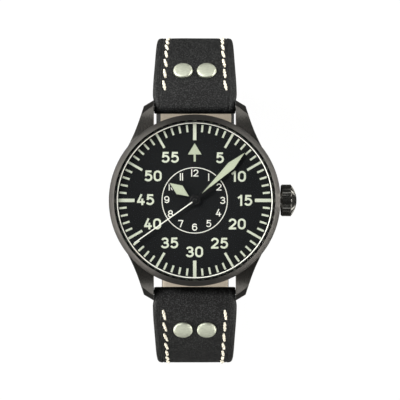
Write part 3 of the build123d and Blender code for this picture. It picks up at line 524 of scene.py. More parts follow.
def end_tree(tree, geometry, finish):
    """Realise a tree's instances, give them their material and join them to the output."""
    real = add_node(tree, "GeometryNodeRealizeInstances", {"Geometry": geometry})
    painted = add_node(tree, "GeometryNodeSetMaterial", {"Geometry": real, "Material": finish_of(finish)})
    add_node(tree, "NodeGroupOutput", {"Geometry": painted})
    return tree


# Case
FLANK_TILT = 0.3  # a face whose normal rises less than this belongs to the flank
BEZEL_PLAY = 0.06 * MM
BEZEL_BAND = 0.85 * MM  # height of the bezel's upright band under its sloping face
BEZEL_BREAK = 0.12 * MM
BACK_BREAK = 0.15 * MM


class WATCH_OT_case(bpy.types.Operator):
    """Case middle, bezel and case back"""
    bl_idname = "watch.case"
    bl_label = "Case"

    def execute(self, context):
        sizes = context.scene.watch_case
        middle = refined("case_band_and_lugs", "case_middle", sizes.bevel)
        # Faces that stand upright take the darker flank finish: painted shade on the case's sides
        for face in middle.polygons:
            face.material_index = 1 if abs(face.normal.z) < FLANK_TILT else 0
        new_piece("case_band_and_lugs", middle, "case", ["brushed", "flank"], "case_black", "case_middle")
        inner = FLANGE_HIGH.x + BEZEL_PLAY
        foot = BEZEL_LOW.z
        face_foot = foot + BEZEL_BAND
        crest = inner + sizes.bezel_bevel
        slope = (BEZEL_TOP - face_foot) / (CASE_RADIUS - inner)
        crest_z = face_foot + slope * (CASE_RADIUS - crest)
        # The sloping face's outer and inner corners are rounded by a few points each
        profile = [
            (inner, foot), (CASE_RADIUS - BEZEL_BREAK, foot), (CASE_RADIUS, foot + BEZEL_BREAK),
            (CASE_RADIUS, face_foot - 0.14 * MM), (CASE_RADIUS - 0.03 * MM, face_foot - 0.03 * MM),
            (CASE_RADIUS - BEZEL_BREAK, face_foot + slope * BEZEL_BREAK),
            (crest + 0.1 * MM, crest_z - slope * 0.1 * MM), (crest + 0.03 * MM, crest_z - 0.015 * MM),
            (crest - 0.04 * MM, crest_z - 0.02 * MM), (inner, crest_z - 1.5 * sizes.bezel_bevel),
        ]
        ring = turned("bezel_ring", profile, 256)
        # Faces inside the crest take the near-black bevel finish: painted shade in the bevel
        for face in ring.polygons:
            if hypot(face.center.x, face.center.y) < crest - 0.02 * MM and face.center.z > foot:
                face.material_index = 1
        new_piece("bezel_ring", ring, "case", ["blasted", "bevel"], "case_black", "bezel")
        back = refined("case_back_plate", "case_back", BACK_BREAK)
        new_piece("case_back_plate", back, "case", ["blasted"], "case_black", "case_back")
        dress("sapphire", "crystal")
        return {"FINISHED"}


# Crown
CROWN_CHAMFER = 0.28 * MM
CROWN_DOME = 1.5 * MM  # length of the domed end
CROWN_SIDE = (0.05, 0.12, 0.5, 1.0)  # stations along the fluted side, as shares of its length
# The domed end: shares of its length and of the crown's radius
CROWN_SHARES = [
    (0.07, 0.985), (0.2, 0.915), (0.4, 0.8), (0.6, 0.66), (0.78, 0.5), (0.9, 0.34), (0.97, 0.18), (1.0, 0.0),
]
STEPS_PER_FLUTE = 14


class WATCH_OT_crown(bpy.types.Operator):
    """Fluted crown at 3 o'clock"""
    bl_idname = "watch.crown"
    bl_label = "Crown"

    def execute(self, context):
        sizes = context.scene.watch_case
        centre_z = middle_of("crown")[2]
        radius = CROWN_HIGH.z - centre_z
        start, end = CROWN_LOW.x, CROWN_HIGH.x
        side_start, side_end = start + CROWN_CHAMFER, end - CROWN_DOME
        # Each point of the profile: radius, place along X and share of a flute's depth,
        # which grows on the dome and ends before its tip
        profile = [(0.0, start, 0), (radius - CROWN_CHAMFER, start, 0.3), (radius, side_start, 0.5)]
        for along in CROWN_SIDE:
            profile.append((radius, side_start + (side_end - side_start) * along, 1.0))
        for along, reach in CROWN_SHARES:
            depth = min(1.3, reach * 1.8) if reach > 0.3 else 0.0
            profile.append((radius * reach, side_end + (end - side_end) * along, depth))
        bm = bmesh.new()
        count = sizes.flute_count * STEPS_PER_FLUTE
        rings = []
        for step in range(count):
            turn = 2 * pi * step / count
            # A flute has a flat floor, and the land between two flutes is flat too
            dip = max(0.0, min(1.0, -0.1 - 1.8 * cos(sizes.flute_count * turn)))
            ring = []
            for reach, along, depth in profile:
                here = reach - depth * dip * sizes.flute_depth
                ring.append(bm.verts.new((along, here * cos(turn), centre_z + here * sin(turn))))
            rings.append(ring)
        skin(bm, rings, loop=True, closed=False)
        mesh = mesh_from(bm, "crown_fluted", 38.0)
        new_piece("crown_fluted", mesh, "crown", ["fluted"], "case_black", "crown")
        return {"FINISHED"}


# Dial
def bars_tree():
    """Bars standing on a circle, leaving out every so many for longer ones."""
    tree, given = new_tree("dial_bars", Count=60, Skip=5, Radius=0.0, Length=0.0, Width=0.0, Height=0.0,
                           Level=0.0)
    circle = add_node(tree, "GeometryNodeMeshCircle", {
        "Vertices": given["Count"], "Radius": given["Radius"]})
    rest = add_node(tree, "ShaderNodeMath", {
        0: add_node(tree, "GeometryNodeInputIndex"), 1: given["Skip"]}, operation="MODULO")
    on_step = add_node(tree, "FunctionNodeCompare", {0: rest, 1: 0.0}, operation="EQUAL")
    leaves_out = add_node(tree, "FunctionNodeCompare", {0: given["Skip"], 1: given["Count"]},
                          operation="LESS_THAN")
    both = add_node(tree, "FunctionNodeBooleanMath", {0: on_step, 1: leaves_out}, operation="AND")
    kept = add_node(tree, "GeometryNodeDeleteGeometry", {"Geometry": circle, "Selection": both},
                    domain="POINT")
    size = add_node(tree, "ShaderNodeCombineXYZ", {
        "X": given["Length"], "Y": given["Width"], "Z": given["Height"]})
    bar = add_node(tree, "GeometryNodeMeshCube", {"Size": size})
    turn = add_node(tree, "FunctionNodeAlignRotationToVector", {
        "Vector": add_node(tree, "GeometryNodeInputPosition")}, axis="X")
    points = add_node(tree, "GeometryNodeInstanceOnPoints", {
        "Points": kept, "Instance": bar, "Rotation": turn})
    rise = add_node(tree, "ShaderNodeCombineXYZ", {"Z": given["Level"]})
    lifted = add_node(tree, "GeometryNodeTransform", {"Geometry": points, "Translation": rise})
    return end_tree(tree, lifted, "lume_print")


def ellipse(x, y, half_width, half_height, start, end):
    """Points on part of an ellipse, 15 degrees apart or closer, its angles in degrees."""
    count = max(4, round(abs(end - start) / 15))
    found = []
    for step in range(count + 1):
        turn = radians(start + (end - start) * step / count)
        found.append((x + half_width * cos(turn), y + half_height * sin(turn)))
    return found


# The strokes of each digit in a cell from 0 to 1 each way, drawn as a draughtsman letters it
DIGITS = {
    "0": [ellipse(0.5, 0.68, 0.5, 0.32, 0, 180) + ellipse(0.5, 0.32, 0.5, 0.32, 180, 360) + [(1.0, 0.68)]],
    "1": [[(0.72, -0.11), (0.72, 1.11)], [(0.74, 1.0), (0.2, 0.74)]],
    "2": [ellipse(0.5, 0.7, 0.48, 0.3, 172, -38) + [(0.06, 0.03)], [(-0.12, 0.0), (1.1, 0.0)]],
    "3": [ellipse(0.48, 0.755, 0.44, 0.245, 165, -90), ellipse(0.48, 0.265, 0.52, 0.265, 90, -165),
          [(0.3, 0.52), (0.52, 0.52)]],
    "4": [[(0.62, 1.1), (0.02, 0.24)], [(-0.12, 0.24), (1.14, 0.24)], [(0.74, -0.11), (0.74, 0.62)]],
    "5": [[(0.14, 1.0), (1.0, 1.0)], [(0.2, 1.1), (0.1, 0.46)],
          ellipse(0.46, 0.335, 0.54, 0.335, 138, -152)],
    "6": [ellipse(0.5, 0.32, 0.5, 0.32, 0, 360), [(0.0, 0.32)] + ellipse(0.5, 0.67, 0.5, 0.33, 180, 28)],
    "7": [[(-0.1, 1.0), (1.1, 1.0)], [(1.0, 1.0), (0.38, -0.11)]],
    "8": [ellipse(0.5, 0.76, 0.44, 0.24, 0, 360), ellipse(0.5, 0.265, 0.52, 0.265, 0, 360)],
    "9": [ellipse(0.5, 0.68, 0.5, 0.32, 0, 360), [(1.0, 0.68)] + ellipse(0.5, 0.33, 0.5, 0.33, 0, -152)],
}
DIGIT_WIDTH = 0.735  # of its height
SMALL_NUMERAL = 2 * MM  # below this height a 1 is a plain upright
# The gap between digits as a share of the stroke, and the width and shift of a 1 as shares of its cell
SMALL_SPACING, SPACING = (2.1, 0.0, 0.72), (1.66, 0.55, 0.3)
STROKE_STEP = 0.002 * MM  # each stroke lies this much over the one before, so that no two faces coincide
# How far a minute numeral is printed off its place on the common circle, right and up, in mm
MINUTE_SHIFTS = {
    5: (0.12, -0.06), 10: (0.27, -0.17), 15: (0.2, 0.0), 20: (-0.1, 0.28), 30: (-0.06, -0.5),
    35: (-0.09, 0.06), 40: (0.15, 0.3), 45: (0.05, 0.18), 50: (0.28, -0.06), 55: (0.05, 0.05),
}
# The same for the hour numerals
HOUR_SHIFTS = {4: (-0.12, 0.25), 9: (0.0, 0.2), 10: (0.45, 0.03), 11: (0.17, 0.09), 12: (0.03, 0.15)}
HOURS_SPREAD = 1.045  # the hour numerals stand a little wider than a circle
HOURS_RISE = 0.6  # of the luminous print's height
INK_FILM = 0.03 * MM
FLANGE_FOOT, FLANGE_LIP = 0.17 * MM, 0.1 * MM  # width of the flange ring below and above
BAR_GAP, MINUTE_GAP = 0.2 * MM, 0.22 * MM  # from the ring line to the bars, and from there to minute bars
TRACK_SLOPE = 0.2 * MM  # the minute ring line's outer edge stands this much above its inner edge
# The triangle at 12, and the stem below it
TRIANGLE = [(-1.68 * MM, 11.23 * MM), (1.68 * MM, 11.23 * MM), (0.0, 13.97 * MM)]
STEM_LOW, STEM_HALF, STEM_OVERLAP = 9.5 * MM, 0.26 * MM, 0.1 * MM


def ribbon(bm, points, half, bottom, top):
    """A flat stroke of even width along points, standing from bottom to top."""
    rows = []
    for index, point in enumerate(points):
        before = points[index - 1] if index > 0 else point
        after = points[index + 1] if index < len(points) - 1 else point
        coming = Vector((point[0] - before[0], point[1] - before[1]))
        going = Vector((after[0] - point[0], after[1] - point[1]))
        if coming.length < 1e-9:
            coming = going
        if going.length < 1e-9:
            going = coming
        coming.normalize()
        going.normalize()
        middle = (coming + going).normalized()
        side = Vector((-middle.y, middle.x))
        reach = half / max(0.5, side.dot(Vector((-coming.y, coming.x))))
        rows.append([bm.verts.new((point[0] + side.x * way * reach, point[1] + side.y * way * reach, level))
                     for way, level in ((1, bottom), (-1, bottom), (-1, top), (1, top))])
    skin(bm, rows, caps=True)


def numeral(bm, text, centre, height, stroke, level, rise):
    """A number of one or two digits, upright about its centre."""
    cell, tall = height * DIGIT_WIDTH - stroke, height - stroke
    small = height < SMALL_NUMERAL
    gap_share, one_share, one_shift = SMALL_SPACING if small else SPACING
    gap = stroke * gap_share
    widths = [cell * (one_share if digit == "1" else 1.0) for digit in text]
    left = centre[0] - (sum(widths) + gap * (len(text) - 1)) / 2
    layer = 0
    for digit, width in zip(text, widths):
        start = left - (cell * one_shift if digit == "1" else 0.0)
        for points in DIGITS[digit][:1] if small and digit == "1" else DIGITS[digit]:
            placed = [(start + x * cell, centre[1] - tall / 2 + y * tall) for x, y in points]
            ribbon(bm, placed, stroke / 2, level, level + rise + layer * STROKE_STEP)
            layer += 1
        left += width + gap


def numeral_ring(name, numbers, step, radii, shifts, height, stroke, rise, finish):
    """One piece with these numbers round the dial, this many degrees apart for each one counted."""
    bm = bmesh.new()
    for number in numbers:
        turn = radians(90 - number * step)
        right, up = shifts.get(number, (0.0, 0.0))
        centre = (radii[0] * cos(turn) + right * MM, radii[1] * sin(turn) + up * MM)
        numeral(bm, str(number), centre, height, stroke, DIAL_TOP, rise)
    new_piece(name, mesh_from(bm, name), "case", [finish], "lume")


class WATCH_OT_dial(bpy.types.Operator):
    """Dial with its ring lines, bars, triangle and numerals, and the flange ring"""
    bl_idname = "watch.dial"
    bl_label = "Dial"

    def execute(self, context):
        sizes = context.scene.watch_dial
        dress("lacquer", "dial")
        level, rise = DIAL_TOP, sizes.print_height
        outer = FLANGE_HIGH.x
        profile = [(outer - FLANGE_FOOT, FLANGE_LOW.z), (outer, FLANGE_LOW.z), (outer, FLANGE_HIGH.z),
                   (outer - FLANGE_LIP, FLANGE_HIGH.z)]
        flange = turned("flange_ring", profile, 256)
        new_piece("flange_ring", flange, "case", ["lacquer"], "ring_black", "rehaut_ring")
        for name, radius, width, slope in (
            ("track_line", sizes.track_radius, sizes.track_width, TRACK_SLOPE),
            ("hour_line", sizes.inner_radius, sizes.hour_ring_width, 0.0),
        ):
            inside, outside = radius - width / 2, radius + width / 2
            ring = [(inside, level), (outside, level), (outside, level + INK_FILM + slope),
                    (inside, level + INK_FILM)]
            new_piece(name, turned(name, ring, 256), "case", ["ink"], "lume")
        tree = bars_tree()
        rim = sizes.track_radius - BAR_GAP
        for name, count, skip, long, wide, top in (
            ("minute_bars", 60, 5, sizes.minute_bar, sizes.minute_width, rim - MINUTE_GAP),
            ("five_minute_bars", 12, 3, sizes.five_bar, sizes.five_width, rim),
            ("quarter_bars", 4, 5, sizes.quarter_bar, sizes.quarter_width, rim),
        ):
            mesh = grown(name, tree, {
                "Count": count, "Skip": skip, "Radius": top - long / 2, "Length": long,
                "Width": wide, "Height": rise, "Level": level + rise / 2})
            new_piece(name, mesh, "case", [], "lume")
        bm = bmesh.new()
        slab(bm, TRIANGLE, level, level + rise)
        stem = [(0.0, STEM_LOW), (0.0, TRIANGLE[0][1] + STEM_OVERLAP)]
        ribbon(bm, stem, STEM_HALF, level, level + rise)
        new_piece("twelve_mark", mesh_from(bm, "twelve_mark"), "case", ["lume"], "lume")
        numeral_ring("minute_numerals", range(5, 60, 5), 6, (sizes.minutes_radius, sizes.minutes_radius),
                     MINUTE_SHIFTS, sizes.minutes_height, sizes.minutes_stroke, rise, "lume_print")
        radii = (sizes.hours_radius * HOURS_SPREAD, sizes.hours_radius)
        numeral_ring("hour_numerals", range(1, 13), 30, radii, HOUR_SHIFTS, sizes.hours_height,
                     sizes.hours_stroke, rise * HOURS_RISE, "ink")
        return {"FINISHED"}


# Hands, in mm
HAND_BREAK = 0.03
POINTER_START, POINTER_HALF, POINTER_RISE, POINTER_TIP = 0.75, 0.13, 0.12, 0.2
COUNTERWEIGHT = [(-0.6, 0.22), (-5.1, 0.52), (-5.1, -0.52), (-0.6, -0.22)]
HUB_RADIUS = 1.15
# The hub's top, from its rim to its pin: radius, and height over the seconds hand
HUB_TOP = [(1.15, 0.02), (1.05, 0.1), (0.55, 0.13), (0.5, 0.3), (0.42, 0.36), (0.0, 0.38)]


class WATCH_OT_hands(bpy.types.Operator):
    """Hour, minute and seconds hands"""
    bl_idname = "watch.hands"
    bl_label = "Hands"

    def execute(self, context):
        for node, body in (("hour_hand", "hours"), ("minute_hand", "minutes")):
            shape = refined(node + "_frame", node, HAND_BREAK * MM)
            new_piece(node + "_frame", shape, body, ["hand"], "hand_black", node)
        dress("lume", "hour_hand_lume", "minute_hand_lume")
        low, high = SECONDS_LOW.z, SECONDS_HIGH.z
        tip = Vector((SECONDS_LOW.x, SECONDS_LOW.y))
        place = Matrix.Rotation(atan2(tip.y, tip.x), 4, "Z")
        bm = bmesh.new()
        pointer = [(POINTER_START * MM, 0.0), (tip.length - POINTER_TIP * MM, 0.0)]
        ribbon(bm, pointer, POINTER_HALF * MM, low, high + POINTER_RISE * MM)
        bm.transform(place)
        new_piece("seconds_pointer", mesh_from(bm, "seconds_pointer"), "seconds", ["ink"], "hand_black")
        bm = bmesh.new()
        slab(bm, [(x * MM, y * MM) for x, y in COUNTERWEIGHT], low, high)
        bm.transform(place)
        mesh = mesh_from(bm, "seconds_counterweight")
        new_piece("seconds_counterweight", mesh, "seconds", ["hand"], "hand_black")
        profile = [(0.0, low), (HUB_RADIUS * MM, low)]
        profile += [(radius * MM, high + rise * MM) for radius, rise in HUB_TOP]
        hub = turned("seconds_hub", profile, 64)
        new_piece("seconds_hub", hub, "seconds", ["hand"], "hand_black", "seconds_hand")
        return {"FINISHED"}


# Strap
BEND_Y = FIXED_HIGH.y
BEND_R = 25.5 * MM
LEAN = asin((BAR_Y - BEND_Y) / BEND_R)
BEND_Z = BAR_Z - BEND_R * cos(LEAN)
TAIL_STEP = 3.2 * MM
TAIL_LENGTH, TAIL_ROLL = 9.0 * MM, 0.35 * MM
STRAP_HALF_THICK = 1.5 * MM
BUCKLE_HALF = 9.0 * MM
LUG_ROOM = 10.12 * MM  # least half width of the leather between the lugs
STATION = 0.9 * MM  # distance between stations along the strap
LUG_FADE, OVERHANG = 1.0 * MM, 0.12 * MM  # past the lugs the width changes over this length, and gains this
# The swelling past the lugs: its height, its distance from them and the length over which it fades
SWELL, SWELL_AT, SWELL_REACH = 0.34 * MM, 2.0 * MM, 6 * MM
TAIL_POWER, TAIL_TIP, SEAM_TIP = 2.2, 0.22, 0.25  # roundness, and least shares of the width of tail and seam
SEAM_TURN = 6 * MM  # length over which the seam's rows draw together
EDGE_DRAW = 0.25 * MM  # how far the edges draw in over a rolled end
RIPPLE, RIPPLE_LENGTH = 0.05, 5 * MM  # height in mm and length of the leather's unevenness
# Cutters at the buckle: their levels, the fork round the tongue, the tongue's slot and the spare holes
CUT_LOW, CUT_HIGH = BEND_Z - BEND_R - 8 * MM, BEND_Z - BEND_R + 2.6 * MM
FORK_HALF, FORK_START, FORK_END = 1.4 * MM, HEEL_Y - 3 * MM, HEEL_Y + 3.6 * MM
SLOT_HALF, SLOT_START, SLOT_END = 1.3 * MM, 3.1 * MM, 8.1 * MM
HOLE_RADIUS, HOLES = 1.1 * MM, (-3.3 * MM, -9.8 * MM)
TURNED_IN = 11 * MM  # how far the leather's folded end covers the lining
LEATHER_FINISHES = ["leather", "lining", "edge"]
ROLL_SHARES = (0.15, 0.4, 0.66, 0.86, 0.97, 1.0)  # stations over a rolled end


def arc_run(centre, radius, start, end):
    """Stations along an arc in the strap's side plane: place and outward direction."""
    count = max(2, ceil(abs(radians(end - start)) * radius / STATION))
    run = []
    for index in range(count + 1):
        turn = radians(start + (end - start) * index / count)
        out = Vector((0.0, cos(turn), sin(turn)))
        run.append((Vector((0.0, centre[0], centre[1])) + out * radius, out))
    return run


def straight_run(start, end, level):
    """Stations along the flat stretch under the wrist, from one y to another."""
    count = max(2, ceil(abs(end - start) / STATION))
    out = Vector((0.0, 0.0, -1.0))
    return [(Vector((0.0, start + (end - start) * index / count, level)), out)
            for index in range(count + 1)]


def short_line():
    """The middle line of the short half, from its bar to the buckle."""
    run = arc_run((BEND_Y, BEND_Z), BEND_R, 90 - degrees(LEAN), -90)
    return run + straight_run(BEND_Y, HEEL_Y, BEND_Z - BEND_R)[1:]


def long_line():
    """The middle line of the long half, from its bar round to the tip of the tail."""
    lap = BEND_R + TAIL_STEP
    run = arc_run((-BEND_Y, BEND_Z), BEND_R, 90 + degrees(LEAN), 180)
    run += arc_run((-BEND_Y + TAIL_STEP, BEND_Z), lap, 180, 270)[1:]
    run += straight_run(-BEND_Y + TAIL_STEP, BEND_Y, BEND_Z - lap)[1:]
    run += arc_run((BEND_Y, BEND_Z), lap, -90, -40)[1:]
    return run


def line_lengths(line):
    """The distance of each station from the first, along the line."""
    distances = [0.0]
    for (point, _), (after, _) in zip(line, line[1:]):
        distances.append(distances[-1] + (after - point).length)
    return distances


def half_width(place):
    """Half the strap's width: full at the lugs, swelling just past them, narrower at the buckle."""
    low = BEND_Z - (BEND_R - STRAP_HALF_THICK)
    share = min(1.0, max(0.0, (BAR_Z - place.z) / (BAR_Z - low)))
    wide = STRAP_HALF + (BUCKLE_HALF - STRAP_HALF) * share
    past = abs(place.y) - LUG_TIP
    if place.z > BEND_Z - BEND_R / 2:
        step = max(0.0, min(1.0, past / LUG_FADE))
        swell = SWELL * exp(-((past - SWELL_AT) / SWELL_REACH) ** 2)
        wide = max(wide, LUG_ROOM) * (1 - step) + (wide + OVERHANG + swell) * step
    return wide


def tail_share(left, reach, least):
    """The share of its width that the rounded tail keeps this far from its tip."""
    if left >= reach:
        return 1.0
    return least + (1 - least) * sqrt(max(0.0, 1 - (1 - left / reach) ** TAIL_POWER))


MIDDLE = 99.0  # stands for the middle of the strap
# Half a section across the leather: distance from the edge in mm, height as a share
# of half the thickness, and the finish of the strip that starts there.
SECTION_SHARES = [
    (MIDDLE, -1.0, "lining"), (4.0, -1.0, "lining"), (1.3, -0.99, "lining"), (0.55, -0.95, "lining"),
    (0.2, -0.8, "edge"), (0.0, -0.45, "edge"), (0.0, -0.05, "edge"), (0.02, 0.3, "leather"),
    (0.14, 0.62, "leather"), (0.42, 0.86, "leather"), (0.85, 0.97, "leather"), (1.4, 1.0, "leather"),
    (1.58, 0.9, "leather"), (1.76, 0.97, "leather"), (2.3, 0.97, "leather"), (2.8, 0.9, "leather"),
    (3.3, 0.97, "leather"), (4.8, 0.985, "leather"), (7.0, 0.99, "leather"), (MIDDLE, 0.99, "leather"),
]


def leather_half(name, line, tip):
    """A strap half swept along its middle line, with rolled ends or a rounded tail."""
    distances = line_lengths(line)
    total = distances[-1]
    (first, first_out), (last, last_out) = line[0], line[-1]
    back, on = (first - line[1][0]).normalized(), (last - line[-2][0]).normalized()
    roll = TAIL_ROLL if tip else STRAP_HALF_THICK
    # Each station: place, outward direction, distance along the strap, share of its thickness
    stations = []
    for extra in reversed(ROLL_SHARES):
        stations.append((first + back * STRAP_HALF_THICK * extra, first_out, -STRAP_HALF_THICK * extra,
                         sqrt(max(0.0, 1 - extra * extra))))
    for (point, out), distance in zip(line, distances):
        stations.append((point, out, distance, 1.0))
    for extra in ROLL_SHARES:
        share = sqrt(max(0.0, 1 - extra * extra))
        stations.append((last + on * roll * extra, last_out, total + roll * extra,
                         max(0.3, share) if tip else share))
    bm = bmesh.new()
    rings = []
    for point, out, distance, thick in stations:
        wide = half_width(point)
        if tip:
            wide *= tail_share(max(0.0, total + TAIL_ROLL - distance), TAIL_LENGTH, TAIL_TIP)
        wide -= EDGE_DRAW * (1 - thick)
        ring = []
        for way, shares in ((1, SECTION_SHARES), (-1, SECTION_SHARES[-2:0:-1])):
            for inset, height, _ in shares:
                across = 0.0 if inset == MIDDLE else wide - inset * MM * min(1.0, wide / BUCKLE_HALF)
                lift = height * STRAP_HALF_THICK * max(thick, 0.02)
                place = point + out * lift + Vector((way * across, 0.0, 0.0))
                ripple = noise.noise(place / RIPPLE_LENGTH) * RIPPLE * MM
                if height > 0.9:
                    place += out * ripple
                ring.append(bm.verts.new(place))
        rings.append(ring)
    layer = [finish for _, _, finish in SECTION_SHARES]
    strips = layer[:-1] + ["leather"] + layer[-3::-1]
    for (number, index), face in skin(bm, rings, caps=True).items():
        finish = strips[index]
        if finish == "lining" and stations[number][2] < TURNED_IN:
            finish = "leather"
        face.material_index = LEATHER_FINISHES.index(finish)
    mesh = mesh_from(bm, name, 50.0)
    for finish in LEATHER_FINISHES:
        mesh.materials.append(finish_of(finish))
    return mesh


def cut_from(mesh, name, cutters):
    """Cut closed shapes out of a mesh."""
    helper = linked(name + "_helper", mesh)
    tools = []
    for number, cutter in enumerate(cutters):
        tools.append(linked(f"{name}_cutter_{number}", cutter))
        cut = helper.modifiers.new("cut", "BOOLEAN")
        cut.operation, cut.solver, cut.object = "DIFFERENCE", "EXACT", tools[-1]
    result = applied(helper, name)
    for tool in tools:
        bpy.data.objects.remove(tool)
    return result


def block(name, low, high):
    """A closed box between two corners, as a cutter."""
    bm = bmesh.new()
    bmesh.ops.create_cube(bm, size=1.0)
    size = Vector(high) - Vector(low)
    for vert in bm.verts:
        vert.co = Vector(low) + Vector((size[axis] * (vert.co[axis] + 0.5) for axis in range(3)))
    return mesh_from(bm, name)


def upright_hole(name, centre, radius, low, high):
    """A closed round cutter along Z."""
    place = Matrix.Translation((centre[0], centre[1], 0.0))
    return turned(name, [(0.0, low), (radius, low), (radius, high), (0.0, high)], 32, place)


class WATCH_OT_strap(bpy.types.Operator):
    """Both halves of the leather strap"""
    bl_idname = "watch.strap"
    bl_label = "Strap"

    def execute(self, context):
        fork = block("fork", (-FORK_HALF, FORK_START, CUT_LOW), (FORK_HALF, FORK_END, CUT_HIGH))
        tongue_slot = block("slot", (-SLOT_HALF, SLOT_START, CUT_LOW), (SLOT_HALF, SLOT_END, CUT_HIGH))
        holes = [upright_hole(f"hole_{number}", (0.0, place), HOLE_RADIUS, CUT_LOW, CUT_HIGH)
                 for number, place in enumerate(HOLES, 1)]
        for name, node, line, tip, cutters in (
            ("strap_short_leather", "strap_short", short_line(), False, [fork]),
            ("strap_long_leather", "strap_long", long_line(), True, [tongue_slot, *holes]),
        ):
            mesh = cut_from(leather_half(name, line, tip), name, cutters)
            new_piece(name, mesh, "case", LEATHER_FINISHES, "leather_black", node)
        return {"FINISHED"}


# Stitches
SEAM_LIFT = -0.12 * MM  # the thread's middle lies a little under the leather's face
THREAD_STATIONS, THREAD_SIDES, THREAD_TURNS = 19, 10, 1.6
THREAD_END, THREAD_FLAT = 0.5, 0.7  # a stitch's thickness at its ends, and its section's height to width
SHORT_SEAM_END, LONG_SEAM_END = 3 * MM, 2.2 * MM


def stitch_tree():
    """Stitches along a curve: straight twisted threads, thinner at their ends and a little askew."""
    tree, given = new_tree("saddle_stitches", Seam=None, Pitch=0.0, Stitch=0.0, Thread=0.0, Seed=7)
    seam = add_node(tree, "GeometryNodeObjectInfo", {"Object": given["Seam"]})
    line = add_node(tree, "GeometryNodeMeshToCurve", {"Mesh": seam.outputs["Geometry"]})
    points = add_node(tree, "GeometryNodeCurveToPoints", {"Curve": line, "Length": given["Pitch"]},
                      mode="LENGTH")
    ends = []
    for share in (-0.5, 0.5):
        reach = add_node(tree, "ShaderNodeMath", {0: given["Stitch"], 1: share}, operation="MULTIPLY")
        ends.append(add_node(tree, "ShaderNodeCombineXYZ", {"Z": reach}))
    thread = add_node(tree, "GeometryNodeCurvePrimitiveLine", {"Start": ends[0], "End": ends[1]})
    fine = add_node(tree, "GeometryNodeResampleCurve", {"Curve": thread, "Count": THREAD_STATIONS})
    along = add_node(tree, "GeometryNodeSplineParameter")
    centred = add_node(tree, "ShaderNodeMapRange", {"Value": along, "To Min": -1.0, "To Max": 1.0})
    fourth = add_node(tree, "ShaderNodeMath", {0: centred, 1: 4.0}, operation="POWER")
    taper = add_node(tree, "ShaderNodeMapRange", {"Value": fourth, "To Min": 1.0, "To Max": THREAD_END})
    lay = add_node(tree, "ShaderNodeMath", {0: along, 1: 2 * pi * THREAD_TURNS}, operation="MULTIPLY")
    laid = add_node(tree, "GeometryNodeSetCurveTilt", {"Curve": fine, "Tilt": lay})
    radius = add_node(tree, "ShaderNodeMath", {0: given["Thread"], 1: 0.5}, operation="MULTIPLY")
    section = add_node(tree, "GeometryNodeCurvePrimitiveCircle", {
        "Resolution": THREAD_SIDES, "Radius": radius})
    flat = add_node(tree, "GeometryNodeTransform", {"Geometry": section, "Scale": (1.0, THREAD_FLAT, 1.0)})
    tube = add_node(tree, "GeometryNodeCurveToMesh", {
        "Curve": laid, "Profile Curve": flat, "Scale": taper, "Fill Caps": True})
    wobble = add_node(tree, "FunctionNodeRandomValue", {
        "Min": (-0.05, -0.3, -0.1), "Max": (0.05, -0.06, 0.1), "Seed": given["Seed"]},
        data_type="FLOAT_VECTOR")
    turn = add_node(tree, "FunctionNodeRotateRotation", {
        "Rotation": points.outputs["Rotation"], "Rotate By": wobble}, rotation_space="LOCAL")
    placed = add_node(tree, "GeometryNodeInstanceOnPoints", {
        "Points": points, "Instance": tube, "Rotation": turn})
    smooth = add_node(tree, "GeometryNodeSetShadeSmooth", {"Geometry": placed})
    return end_tree(tree, smooth, "thread")


def seam_mesh(name, line, first, last, inset, tip):
    """The seam's two rows as edges on the leather's face, which draw together round the tip."""
    bm = bmesh.new()
    rows = {1: [], -1: []}
    for (point, out), distance in zip(line, line_lengths(line)):
        if distance < first or distance > last:
            continue
        across = half_width(point) - inset
        if tip:
            across *= tail_share(last - distance, SEAM_TURN, SEAM_TIP)
        for way, row in rows.items():
            place = point + out * (STRAP_HALF_THICK + SEAM_LIFT) + Vector((way * across, 0.0, 0.0))
            row.append(bm.verts.new(place))
    for row in rows.values():
        for vert, after in zip(row, row[1:]):
            bm.edges.new((vert, after))
    return to_mesh(bm, name)


class WATCH_OT_stitches(bpy.types.Operator):
    """Saddle stitches along both strap halves"""
    bl_idname = "watch.stitches"
    bl_label = "Stitches"

    def execute(self, context):
        sizes = context.scene.watch_strap
        tree = stitch_tree()
        for name, line, end_gap, tip in (
            ("strap_short_stitches", short_line(), SHORT_SEAM_END, False),
            ("strap_long_stitches", long_line(), LONG_SEAM_END, True),
        ):
            last = line_lengths(line)[-1] - end_gap
            seam = seam_mesh(name + "_seam", line, sizes.seam_gap, last, sizes.stitch_inset, tip)
            holder = linked(name + "_seam", seam)
            mesh = grown(name, tree, {
                "Seam": holder, "Pitch": sizes.stitch_pitch, "Stitch": sizes.stitch_length,
                "Thread": sizes.thread})
            bpy.data.objects.remove(holder)
            new_piece(name, mesh, "case", [], "leather_black")
        return {"FINISHED"}


# Rivets
RIVET_Y, RIVET_SPACING = 32.2 * MM, 2.95 * MM
RIVET_FOOT, RIVET_STEP = -0.35 * MM, -0.1 * MM  # how deep the head's foot and its step lie in the leather
# A rivet head from its rim to its middle: shares of its radius and of its height
RIVET_SHARES = [
    (1.0, 0.12), (0.985, 0.45), (0.95, 0.66), (0.88, 0.77),
    (0.7, 0.86), (0.5, 0.93), (0.25, 0.98), (0.0, 1.0),
]


def rivets_tree():
    """Rivet heads on points, each turned to its point's stored direction."""
    tree, given = new_tree("strap_rivets", Places=None, Head=None)
    places = add_node(tree, "GeometryNodeObjectInfo", {"Object": given["Places"]})
    shape = add_node(tree, "GeometryNodeObjectInfo", {"Object": given["Head"]})
    out = add_node(tree, "GeometryNodeInputNamedAttribute", {"Name": "out"}, data_type="FLOAT_VECTOR")
    turn = add_node(tree, "FunctionNodeAlignRotationToVector", {"Vector": out.outputs["Attribute"]},
                    axis="Z")
    placed = add_node(tree, "GeometryNodeInstanceOnPoints", {
        "Points": places.outputs["Geometry"], "Instance": shape.outputs["Geometry"], "Rotation": turn})
    return end_tree(tree, placed, "rivet")


